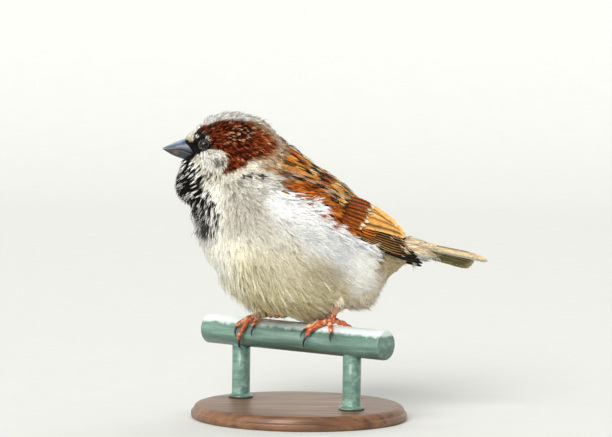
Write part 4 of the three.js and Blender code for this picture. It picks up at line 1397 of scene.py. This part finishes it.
def bill_half(name, node, ridge_line, upper):
    """One mandible: a ridged half shell that closes along the cutting edge."""
    steps, sides, inner_sides = 60, 34, 12
    x = (-44.0 - 15.45 * np.linspace(0, 1, steps) ** 0.85)[:, None]
    closing = table(TOMIUM, x) + (0.06 if upper else -0.1)
    height = table(ridge_line, x) - closing
    height = np.maximum(height, 0.05) if upper else np.minimum(height, -0.05)
    width = table(BILL_WIDTH, x) * (1 if upper else 0.9)
    turn = np.linspace(0, math.pi, sides)
    bulge = np.sin(turn) ** (0.95 if upper else 0.85)
    y = width * np.cos(turn) * (1 - 0.05 * np.sin(turn) ** 2)
    if upper:
        ridge = 0.05 * np.exp(-(((turn - math.pi / 2) / 0.16) ** 2)) * fall(x, -50, -44)
        off_pit = ((x - NOSTRIL[0]) / 0.75) ** 2 + ((np.abs(y) - NOSTRIL[1]) / 0.5) ** 2
        pit = np.exp(-off_pit) * (bulge > 0.3)
        bulge = bulge + ridge
        y = y * (1 - 0.14 * pit)
    inner = width * np.cos(np.linspace(math.pi, 0, inner_sides))[1:-1] * 0.96
    lines = (y, closing + height * bulge), (inner, closing)
    ring = np.concatenate([np.stack(np.broadcast_arrays(x, *line), -1) for line in lines], 1)
    points = ring.reshape(-1, 3)
    faces = np.roll(grid(steps, ring.shape[1]), -1, axis=1)

    x, y, z = points.T
    rise = np.maximum(np.abs(table(ridge_line, x) - table(TOMIUM, x)), 0.2)
    share = np.abs(np.clip((z - table(TOMIUM, x)) / rise, -1, 1))
    if upper:
        off_nostril = np.hypot(x - NOSTRIL[0], (np.abs(y) - NOSTRIL[1]) / 0.5)
        # the upper mandible pales towards its ridge in a painted highlight
        tint = blend(
            DARK_SLATE, SLATE, ramp(share, 0.1, 0.6), RIDGE_HIGHLIGHT, ramp(share, 0.6, 0.95) * 0.85,
            HORN, fall(x, -56, -51) * fall(share, 0.1, 0.4) * 0.7,
            "#c9c3b8", fall(x, -58, -54) * fall(share, 0.02, 0.16) * 0.8,
            DARK_SLATE, fall(off_nostril, 0.5, 1.2) * (share > 0.3) * 0.8,
            "#8b919c", fall(x, -59.2, -57.4) * 0.5,
        )
    else:
        horny = ramp(1.8 - np.abs(x + 53.6), 0, 2) * fall(np.abs(share - 0.42), 0, 0.4)
        tint = blend(DARK_SLATE, SLATE, 0.25, HORN, horny * 0.5) * np.array([0.8, 0.74, 0.66])
    # painted shade along the line where the mandibles part
    painted_parting_shade = fall(share, 0.01, 0.045) * 0.8 * ramp(x, -57.5, -53)
    tint = blend(tint, DARK_SLATE * 0.7, painted_parting_shade, SOOT, ramp(x, -48.4, -46.0) * 0.75)
    tint = tint * (0.9 + 0.2 * noise(points * [0.5, 1, 1], 0.5, 5))[:, None]
    horn = grained(name, 900.0, (0.35, 0.86), (0.7, 1.1), (0.3, 0.46), (0.25, 0.00015), (0.25, 1, 1),
                   Roughness=0.36, Coat_Weight=0.1, Coat_Roughness=0.3)
    mesh_piece(name, "bill", points, faces[:, ::-1] if upper else faces, horn, tint, nodes=[node])


# ---------- eyes ----------
EYE_OPENING = 1.92
RING_WIDTH = 0.14


def eye(name, side, look_name):
    """A dark glossy ball in a bare ring of lid."""
    outward = unit(np.array([-0.12, side, 0.22]))
    centre = node_middle(name) - ORIGIN + outward * 0.25 + UP * 0.35
    level = unit(np.cross(UP, outward))
    upward = unit(np.cross(outward, level))
    rings, spokes = 40, 64
    polar = np.linspace(0.0, math.pi * 0.62, rings)[:, None, None]
    turn = circle(spokes)[:, None]
    cornea = 1 + 0.035 * fall(polar, 0.2, 0.62)
    spoke = np.cos(turn) * level + np.sin(turn) * upward
    points = centre + EYE_RADIUS * cornea * (np.cos(polar) * outward + np.sin(polar) * spoke)
    points = points.reshape(-1, 3)
    off = np.repeat(EYE_RADIUS * np.sin(polar.ravel()), spokes)
    around = np.tile(circle(spokes), rings)
    fibres = streaks(np.cos(around) * 6, np.sin(around) * 6, off * 0.6, 0.5, 3)
    # sky marks a painted reflection: a soft blue-grey patch on the upper part of the eye
    rise, aside = (points - centre) @ upward, (points - centre) @ level
    sky = ramp(rise, 0.1, 0.6) * fall(rise, 1.1, 1.6) * fall(np.abs(aside), 0.5, 1.2)
    tint = blend("#050404", "#24150c", ramp(off, 1.12, 1.24) * (0.5 + 0.6 * fibres),
                 "#0b0807", ramp(off, 1.72, 1.95), "#46536a", sky * 0.6)
    look = grained(look_name, 2500.0, (0.3, 0.75), (0.7, 1.25), Roughness=0.06, IOR=1.376)
    faces = np.roll(grid(rings, spokes), -1, axis=1)
    mesh_piece(f"{name}_ball", "eye", points, faces, look, tint, nodes=[name])

    # the lid's ring is a little pointed before and behind, and finely beaded
    around, tube = 96, 12
    turn = circle(around)[:, None, None]
    tube_turn = circle(tube)[:, None]
    beads = 1 + 0.12 * np.sin(turn * 26) + 0.06 * np.sin(turn * 41)
    thick = RING_WIDTH * beads * (1 + 0.15 * np.sin(turn))
    out = EYE_OPENING * (1 + 0.06 * np.abs(np.cos(turn)) ** 8) + thick * np.cos(tube_turn)
    forward = math.sqrt(EYE_RADIUS**2 - EYE_OPENING**2) + 0.12 + thick * 1.1 * np.sin(tube_turn)
    spoke = np.cos(turn) * level + np.sin(turn) * upward
    points = (centre + outward * forward + spoke * out).reshape(-1, 3)
    tint = blend("#2e2a22", "#7b7358", ramp(noise(points, 0.4, 9), 0.35, 0.8))
    lid = soft("lid", 0.5, 2600.0, 0.2, Sheen_Weight=0.0)
    mesh_piece(f"{name}_lid", "eye", points, grid(around, tube, closed=True), lid, tint)


# ---------- legs ----------
FOOT_GAP = 0.3
TOE_RADIUS, TOE_TIP = 1.2, 0.92
TOE_ROOT = 84
KNUCKLE = 0.35
CLAW_RADIUS, CLAW_ARCH, CLAW_START = 0.58, 0.95, 0.02
SOLE_SIZE = np.array([2.1, 1.8, 1.35])
SOLE_HEIGHT = 1.3
# Each foot's place along the rail, its ankle, and its toes: how far each slides along the rail, the turns
# round the rail at its last joint and its claw's tip, and how far the claw slides.
FEET = {
    "left": (16.7, (15.6, -14.2, 14.2), {
        "hind": (6.0, 150, 186, 2.0), "inner": (-8.6, 36, 6, -1.6), "middle": (-7.2, 14, -24, -1.8),
        "outer": (5.4, 30, 2, 0.6),
    }),
    "right": (-20.0, (-12.0, 15.5, 15.0), {
        "hind": (9.5, 100, 104, 5.4), "inner": (0.6, 30, -6, -0.6), "middle": (-7.4, -18, -62, -1.0),
        "outer": (-8.8, 22, -12, 0.2),
    }),
}


def on_rail(along, turn, height):
    """Places over the rail's surface: along it, round it in degrees with 90 on top, and over it."""
    turn = np.radians(turn)
    reach = RAIL_RADIUS + FOOT_GAP + height
    return ALONG * each(along) + NEAR * each(reach * np.cos(turn)) + UP * each(reach * np.sin(turn))


def rail_axis(points):
    return ALONG * (points @ ALONG)[:, None]


def sweep(path, radii, flatten=1.0, ground=rail_axis):
    """A closed tube along a path, with a radius at each point and angle. Angles start off the ground."""
    ways = unit(np.gradient(path, axis=0))
    tops = path - ground(path)
    tops = unit(tops - dot(tops, ways) * ways)
    rows, sides = radii.shape
    turn = circle(sides)[:, None]
    ring = np.cos(turn) * tops[:, None] * flatten + np.sin(turn) * np.cross(ways, tops)[:, None]
    points = (path[:, None] + ring * radii[..., None]).reshape(-1, 3)
    tube = grid(rows, sides)[:, [0, 1, 2, 0, 2, 3]].reshape(-1, 3)
    j = np.arange(sides)
    after, first, last = (j + 1) % sides, 0 * j + len(points), (rows - 1) * sides
    ends = np.stack([first, j, after, first + 1, last + after, last + j], -1).reshape(-1, 3)
    return np.concatenate([points, path[[0, -1]]]), np.concatenate([tube, ends])[:, ::-1]


def sphere(rows, sides):
    polar, turn = np.linspace(0, math.pi, rows)[:, None], circle(sides)
    ring = (np.sin(polar) * np.cos(turn), np.sin(polar) * np.sin(turn), np.cos(polar))
    return np.stack(np.broadcast_arrays(*ring), -1).reshape(-1, 3)


def leg_tint(points, seed, shade):
    """Orange-red skin, with pale specks of painted highlight and dark specks of painted shade."""
    spots = 0.6 * noise(points, 1.3, seed) + 0.4 * noise(points, 0.5, seed + 7)
    pale, dark = ramp(spots, 0.48, 0.68) * 0.8, fall(spots, 0.2, 0.44) * 0.8
    return blend("#cf5d28", "#f3c9a0", pale, "#6c220f", dark) * shade


def leg_skin(name):
    made = soft(name, 0.5, 2200.0, 0.14, Sheen_Weight=0.0, Specular_IOR_Level=0.5, Coat_Weight=0.12,
                Coat_Roughness=0.4)
    tree = made.node_tree
    cells = add(tree, "ShaderNodeTexVoronoi", {"Scale": 1900.0}, feature="DISTANCE_TO_EDGE")
    tree.links.new(add(tree, "ShaderNodeTexCoord").outputs["Object"], cells.inputs["Vector"])
    edges = ramp_node(tree, cells.outputs["Distance"], (0.0, 0.0), (0.12, 1.0))
    bump_node(tree, tree.nodes["Principled BSDF"], edges, 0.45, 0.00012)
    return made


def toe(at_place, kind, slide, joint):
    """A scuted toe with pads beneath, closed with a round end."""
    root = 180 - TOE_ROOT if kind == "hind" else TOE_ROOT
    share = np.linspace(0, 1, 61)[:, None]
    s = share[:, 0]
    knuckles = KNUCKLE * np.sin(s * math.pi * 3) ** 2
    path = on_rail(at_place + slide * s, root + (joint - root) * s, TOE_RADIUS + 0.12 + knuckles)
    turn = circle(20)
    scutes = np.abs(np.sin(share * math.pi * 13)) ** 0.5 * np.clip(np.cos(turn), 0, 1)
    pads = np.abs(np.cos(share * math.pi * 3)) ** 1.5 * np.clip(-np.cos(turn), 0, 1)
    radius = (TOE_RADIUS + (TOE_TIP - TOE_RADIUS) * share) * (0.9 + 0.13 * scutes + 0.16 * pads)
    end = np.sqrt(np.maximum(1 - ((share - 0.94) / 0.07) ** 2, 0.05))
    return sweep(path, radius * np.where(share > 0.94, end, 1))


def claw(at_place, joint, tip, slide):
    steps = np.linspace(CLAW_START, 1, 30)
    lift = TOE_RADIUS * 0.8 + CLAW_ARCH * np.sin(steps * math.pi * 0.92)
    path = on_rail(at_place + slide * steps, joint + (tip - joint) * steps, lift)
    radii = CLAW_RADIUS * (1 - steps**1.5) * 0.92 + 0.07
    return sweep(path, np.repeat(radii[:, None], 14, 1), 1.15)


def sole(at_place):
    """The pad that the toes and the shin meet in."""
    size = sphere(18, 28) * SOLE_SIZE
    points = ALONG * size[:, :1] + NEAR * size[:, 1:2] + UP * size[:, 2:]
    points = points * (1 + 0.1 * (noise(points, 0.8, 4) - 0.5))[:, None] + on_rail(at_place, 90, SOLE_HEIGHT)
    return points, grid(18, 28)[:, [0, 2, 3, 0, 1, 2]].reshape(-1, 3)


def foot(side, shade):
    """A foot gripping the rail, its scuted shin and its curved claws."""
    at_place, ankle, toes = FEET[side]
    skin_look = leg_skin(f"leg_{side}")
    parts = [toe(at_place, kind, slide, joint) for kind, (slide, joint, _, _) in toes.items()]
    points, faces = joined([*parts, sole(at_place)])
    mesh_piece(f"foot_skin_{side}", "leg", points, faces, skin_look, leg_tint(points, 61, shade),
               nodes=[f"foot_{side}"])

    share = np.linspace(0, 1.12, 70)[:, None]
    start = on_rail(at_place, 90, SOLE_HEIGHT)
    scutes = np.abs(np.sin(share * math.pi * 9)) ** 0.4 * np.clip(np.cos(circle(22) + 0.6), 0, 1)
    radius = (1.15 + 0.4 * np.abs(2 * np.clip(share, 0, 1) - 1) ** 2.6) * (0.93 + 0.1 * scutes)
    path = start + (np.array(ankle) - start) * share
    points, faces = sweep(path, radius, ground=lambda p: p + [1.0, 0.3, 0])
    tint = blend(leg_tint(points, 62, shade * 0.98), "#a8786a", 0.8 * ramp(points[:, 2], 10.5, 13.5))
    mesh_piece(f"shin_{side}", "leg", points, faces, skin_look, tint, nodes=[f"tarsus_{side}"])

    claw_look = grained(f"claw_{side}", 1500.0, (0.3, 0.7), (0.7, 1.3), None, (0.2, 0.0001), (1, 1, 0.3),
                        Roughness=0.3, Coat_Weight=0.4, Coat_Roughness=0.2)
    for kind, (slide, joint, tip, claw_slide) in toes.items():
        points, faces = claw(at_place + slide, joint, tip, claw_slide)
        tint = blend("#5b4038", "#1b1718", ramp(np.linspace(0, 1, len(points)), 0.0, 0.4))
        mesh_piece(f"claw_curve_{side}_{kind}", "claw", points, faces, claw_look, tint,
                   nodes=[f"claw_{side}_{kind}"])


# ---------- rail and stand ----------
RAIL_LENGTH = 96.0
RAIL_EDGE = 0.9
ROD_RADIUS, ROD_ALONG, ROD_HEIGHT = 3.9, 30.0, 22.0
BASE_RADIUS, BASE_THICKNESS = 46.0, 6.0


def turned(profile, sides, start, way, first, second):
    """The points and faces of a round solid from a profile of (along, radius) about an axis."""
    along, radius = np.array(profile, float).T[..., None, None]
    turn = circle(sides)[:, None]
    points = start + way * along + (np.cos(turn) * first + np.sin(turn) * second) * radius
    return points.reshape(-1, 3), grid(len(profile), sides)


def painted_metal(name, low=None, high=None):
    """Grey-green paint over steel: dark specks, paler patches and small pits. A rail between two
    heights is painted pale on top as a highlight and darker beneath as shade."""
    made, tree, shader = material(name, Roughness=0.42, Coat_Weight=0.5, Coat_Roughness=0.22)
    broad = noise_node(tree, 330.0, 5.0, 0.7, (14.0, 1, 1), RAIL_YAW, "TEXTURE")
    fine = noise_node(tree, 1500.0, 4.0, 0.75)
    paint = ramp_node(tree, broad, (0.32, "#46675a"), (0.5, "#628576"), (0.68, "#8cab9e"))
    specks = ramp_node(tree, fine, (0.30, 0.45), (0.44, 0.92), (0.6, 1.0), (0.75, 1.12))
    both = mix_node(tree, "MULTIPLY", 0.8, paint, specks)
    if low is not None:
        # painted shade darkens the rail's underside and a painted highlight pales its top
        split = add(tree, "ShaderNodeSeparateXYZ")
        tree.links.new(add(tree, "ShaderNodeTexCoord").outputs["Object"], split.inputs[0])
        height = add(tree, "ShaderNodeMapRange", {"From Min": low, "From Max": high})
        tree.links.new(split.outputs["Z"], height.inputs["Value"])
        shifted = add(tree, "ShaderNodeMath", {1: 0.3}, operation="MULTIPLY_ADD")
        tree.links.new(noise_node(tree, 260.0, 4.0, 0.7), shifted.inputs[0])
        tree.links.new(height.outputs["Result"], shifted.inputs[2])
        underside_shade = ramp_node(tree, shifted.outputs[0], (0.15, 0.45), (0.45, 0.8), (0.75, 1.0))
        top_highlight = ramp_node(tree, shifted.outputs[0], (0.9, 0.0), (1.1, 0.9))
        both = mix_node(tree, "MULTIPLY", 1.0, both, underside_shade)
        both = mix_node(tree, "MIX", top_highlight, both, colour("#e3ecea"))
    tree.links.new(both, shader.inputs["Base Color"])
    tree.links.new(ramp_node(tree, broad, (0.3, 0.34), (0.7, 0.55)), shader.inputs["Roughness"])
    bump_node(tree, shader, fine, 0.35, 0.0002)
    return made


def oiled_wood(name):
    """Dark turned wood with long grain and fine pores."""
    made, tree, shader = material(name, Roughness=0.45, Coat_Weight=0.2, Coat_Roughness=0.3)
    grain = noise_node(tree, 24.0, 6.0, 0.62, (1.0, 9.0, 9.0), 0.3, distortion=0.5)
    pores = noise_node(tree, 420.0, 2.0, stretch=(0.12, 1, 1))
    tone = ramp_node(tree, grain, (0.3, "#5a3a26"), (0.5, "#7a5235"), (0.7, "#946a47"))
    dark = ramp_node(tree, pores, (0.36, 0.6), (0.48, 1.0))
    tree.links.new(mix_node(tree, "MULTIPLY", 0.8, tone, dark), shader.inputs["Base Color"])
    tree.links.new(ramp_node(tree, grain, (0.3, 0.52), (0.7, 0.38)), shader.inputs["Roughness"])
    bump_node(tree, shader, pores, 0.3, 0.0002)
    return made


def rail():
    """A bar with rounded ends that close on its axis."""
    axis_height, half, middles = float(ORIGIN[2]), RAIL_LENGTH / 2, 20
    low, high = axis_height - RAIL_RADIUS, axis_height + RAIL_RADIUS
    paint = painted_metal("rail_paint", low / METRE, high / METRE)
    bend = np.linspace(0, math.pi / 2, 7)
    along = -half + RAIL_EDGE - RAIL_EDGE * np.cos(bend)
    out = RAIL_RADIUS - RAIL_EDGE + RAIL_EDGE * np.sin(bend)
    first = [(-half, 0.01), (-half, RAIL_RADIUS * 0.5), *zip(along, out)]
    steps = np.linspace(RAIL_EDGE - half, half - RAIL_EDGE, middles + 2)[1:-1]
    last = [(-place, radius) for place, radius in reversed(first)]
    profile = first + [(place, RAIL_RADIUS) for place in steps] + last
    points, faces = turned(profile, 96, ALONG * RAIL_MIDDLE, ALONG, NEAR, UP)
    wobble = 0.025 * (noise(points, 5.0, 71) - 0.5) + 0.012 * (noise(points, 1.4, 72) - 0.5)
    points = points + (points - rail_axis(points)) * (wobble / RAIL_RADIUS)[:, None]
    mesh_piece("rail", "rail", points, faces[:, ::-1], paint, nodes=["perch_rail"])


def stand():
    """Two rods that flare at the foot, on a round base with a rounded edge."""
    rod_paint = painted_metal("rod_paint")
    bottom, top = -RAIL_RADIUS - ROD_HEIGHT, ROD_HEIGHT + 1.2
    flare = [(0, 1.5), (0.5, 1.5), (1.0, 1.1), (1.3, 0.25), (1.8, 0), (top * 0.5, 0), (top, 0)]
    profile = [(0, 0.01), *((along, ROD_RADIUS + out) for along, out in flare), (top, 0.01)]
    for name, way in (("left", -1), ("right", 1)):
        foot_place = ALONG * (RAIL_MIDDLE + way * ROD_ALONG) + UP * bottom
        points, faces = turned(profile, 64, foot_place, UP, ALONG, NEAR)
        mesh_piece(f"rod_{name}", "stand_rod", points, faces, rod_paint, nodes=[f"stand_rod_{name}"])
    bend = np.linspace(0, math.pi / 2, 8)
    edge = [(0, 1.0), (0.3, 0.4), (0.9, 0), (2.6, 0), (3.0, 0.25), (3.25, 0.8)]
    edge += [(3.4 + 2.6 * math.sin(a), 1.0 + 2.6 * (1 - math.cos(a))) for a in bend]
    profile = [(0, 0.01), *((along, BASE_RADIUS - back) for along, back in edge)]
    profile += [(BASE_THICKNESS, radius) for radius in (30.0, 15.0, 0.01)]
    points, faces = turned(profile, 160, UP * (bottom - FOOT_GAP - BASE_THICKNESS), UP, ALONG, NEAR)
    mesh_piece("base", "stand_base", points, faces, oiled_wood("base_wood"), nodes=["stand_base"])


bill_half("upper_mandible", "bill_upper", CULMEN, True)
bill_half("lower_mandible", "bill_lower", KEEL, False)
eye("eye_left", -1, "eye_near")
eye("eye_right", 1, "eye_far")
foot("left", 1.0)
foot("right", 0.85)
rail()
stand()

# ---------- camera, light and floor ----------
IMAGE_WIDTH = 612
PER_MM = 2.35  # image width units for a millimetre at the rail's axis
SENSOR = 36.0
DISTANCE = 1550.0
ELEVATION = math.radians(4.4)
ROLL = math.radians(0.8)
AIM = (2.55, 50.4)  # the place, across and up the view, that the camera looks at


def linked(name, data):
    made = bpy.data.objects.new(name, data)
    bpy.context.scene.collection.objects.link(made)
    return made


def camera():
    """Looks at the bird's left side from a little above, a metre and a half away."""
    data = bpy.data.cameras.new("camera")
    data.sensor_width = SENSOR
    data.lens = SENSOR * DISTANCE * PER_MM / IMAGE_WIDTH
    data.clip_end = 20
    viewer = linked("camera", data)
    bpy.context.scene.camera = viewer
    across, high = AIM
    forward = np.array([0, math.cos(ELEVATION), -math.sin(ELEVATION)])
    target = np.array([across - 0.014 * high, high * math.sin(ELEVATION), high * math.cos(ELEVATION)])
    viewer.location = Vector(world(target - forward * DISTANCE))
    viewer.rotation_euler = Euler((math.pi / 2 - ELEVATION, 0, 0)).to_matrix().to_euler()
    viewer.rotation_euler.rotate_axis("Z", ROLL)


def sun(name, way, power, softness, tone):
    """Even light from one direction, softened as by a large screen."""
    data = bpy.data.lights.new(name, "SUN")
    data.energy = power
    data.angle = math.radians(softness)
    data.color = tone
    linked(name, data).rotation_euler = Vector(way).to_track_quat("Z", "Y").to_euler()


def studio():
    sun("key", (-0.38, -0.92, 0.68), 2.9, 32, (1, 0.99, 0.965))
    sun("side", (-0.95, -0.35, 0.03), 0.7, 40, (1, 1, 0.98))
    sun("back", (0.25, 0.6, 0.95), 0.9, 30, (1, 0.99, 0.97))
    sky = bpy.data.worlds.new("studio")
    sky.use_nodes = True
    backdrop = sky.node_tree.nodes["Background"]
    backdrop.inputs["Color"].default_value = (0.985, 0.99, 1, 1)
    backdrop.inputs["Strength"].default_value = 0.47
    bpy.context.scene.world = sky
    bpy.context.scene.view_settings.view_transform = "Standard"


def floor():
    """A pale floor that curves up far behind, in metres of the frame."""
    made, tree, shader = material("floor", Roughness=0.8)
    shades = ramp_node(tree, noise_node(tree, 60.0), (0.3, "#dadbd7"), (0.7, "#dcddd9"))
    tree.links.new(shades, shader.inputs["Base Color"])
    low = CAD_BOX[0][2]
    bend = np.linspace(0, math.pi / 2, 24)
    curve = [(1.2 + 1.2 * math.sin(a), low + 1.2 * (1 - math.cos(a))) for a in bend]
    profile = [(-3.0, low), *curve, (2.4, low + 4)]
    corners = [(side * 5.0, y, z) for y, z in profile for side in (-1, 1)]
    faces = [(2 * i, 2 * i + 1, 2 * i + 3, 2 * i + 2) for i in range(len(profile) - 1)]
    mesh = bpy.data.meshes.new("floor")
    mesh.from_pydata(corners, [], faces)
    mesh.polygons.foreach_set("use_smooth", [True] * len(faces))
    mesh.materials.append(made)
    linked("floor", mesh)


camera()
studio()
floor()
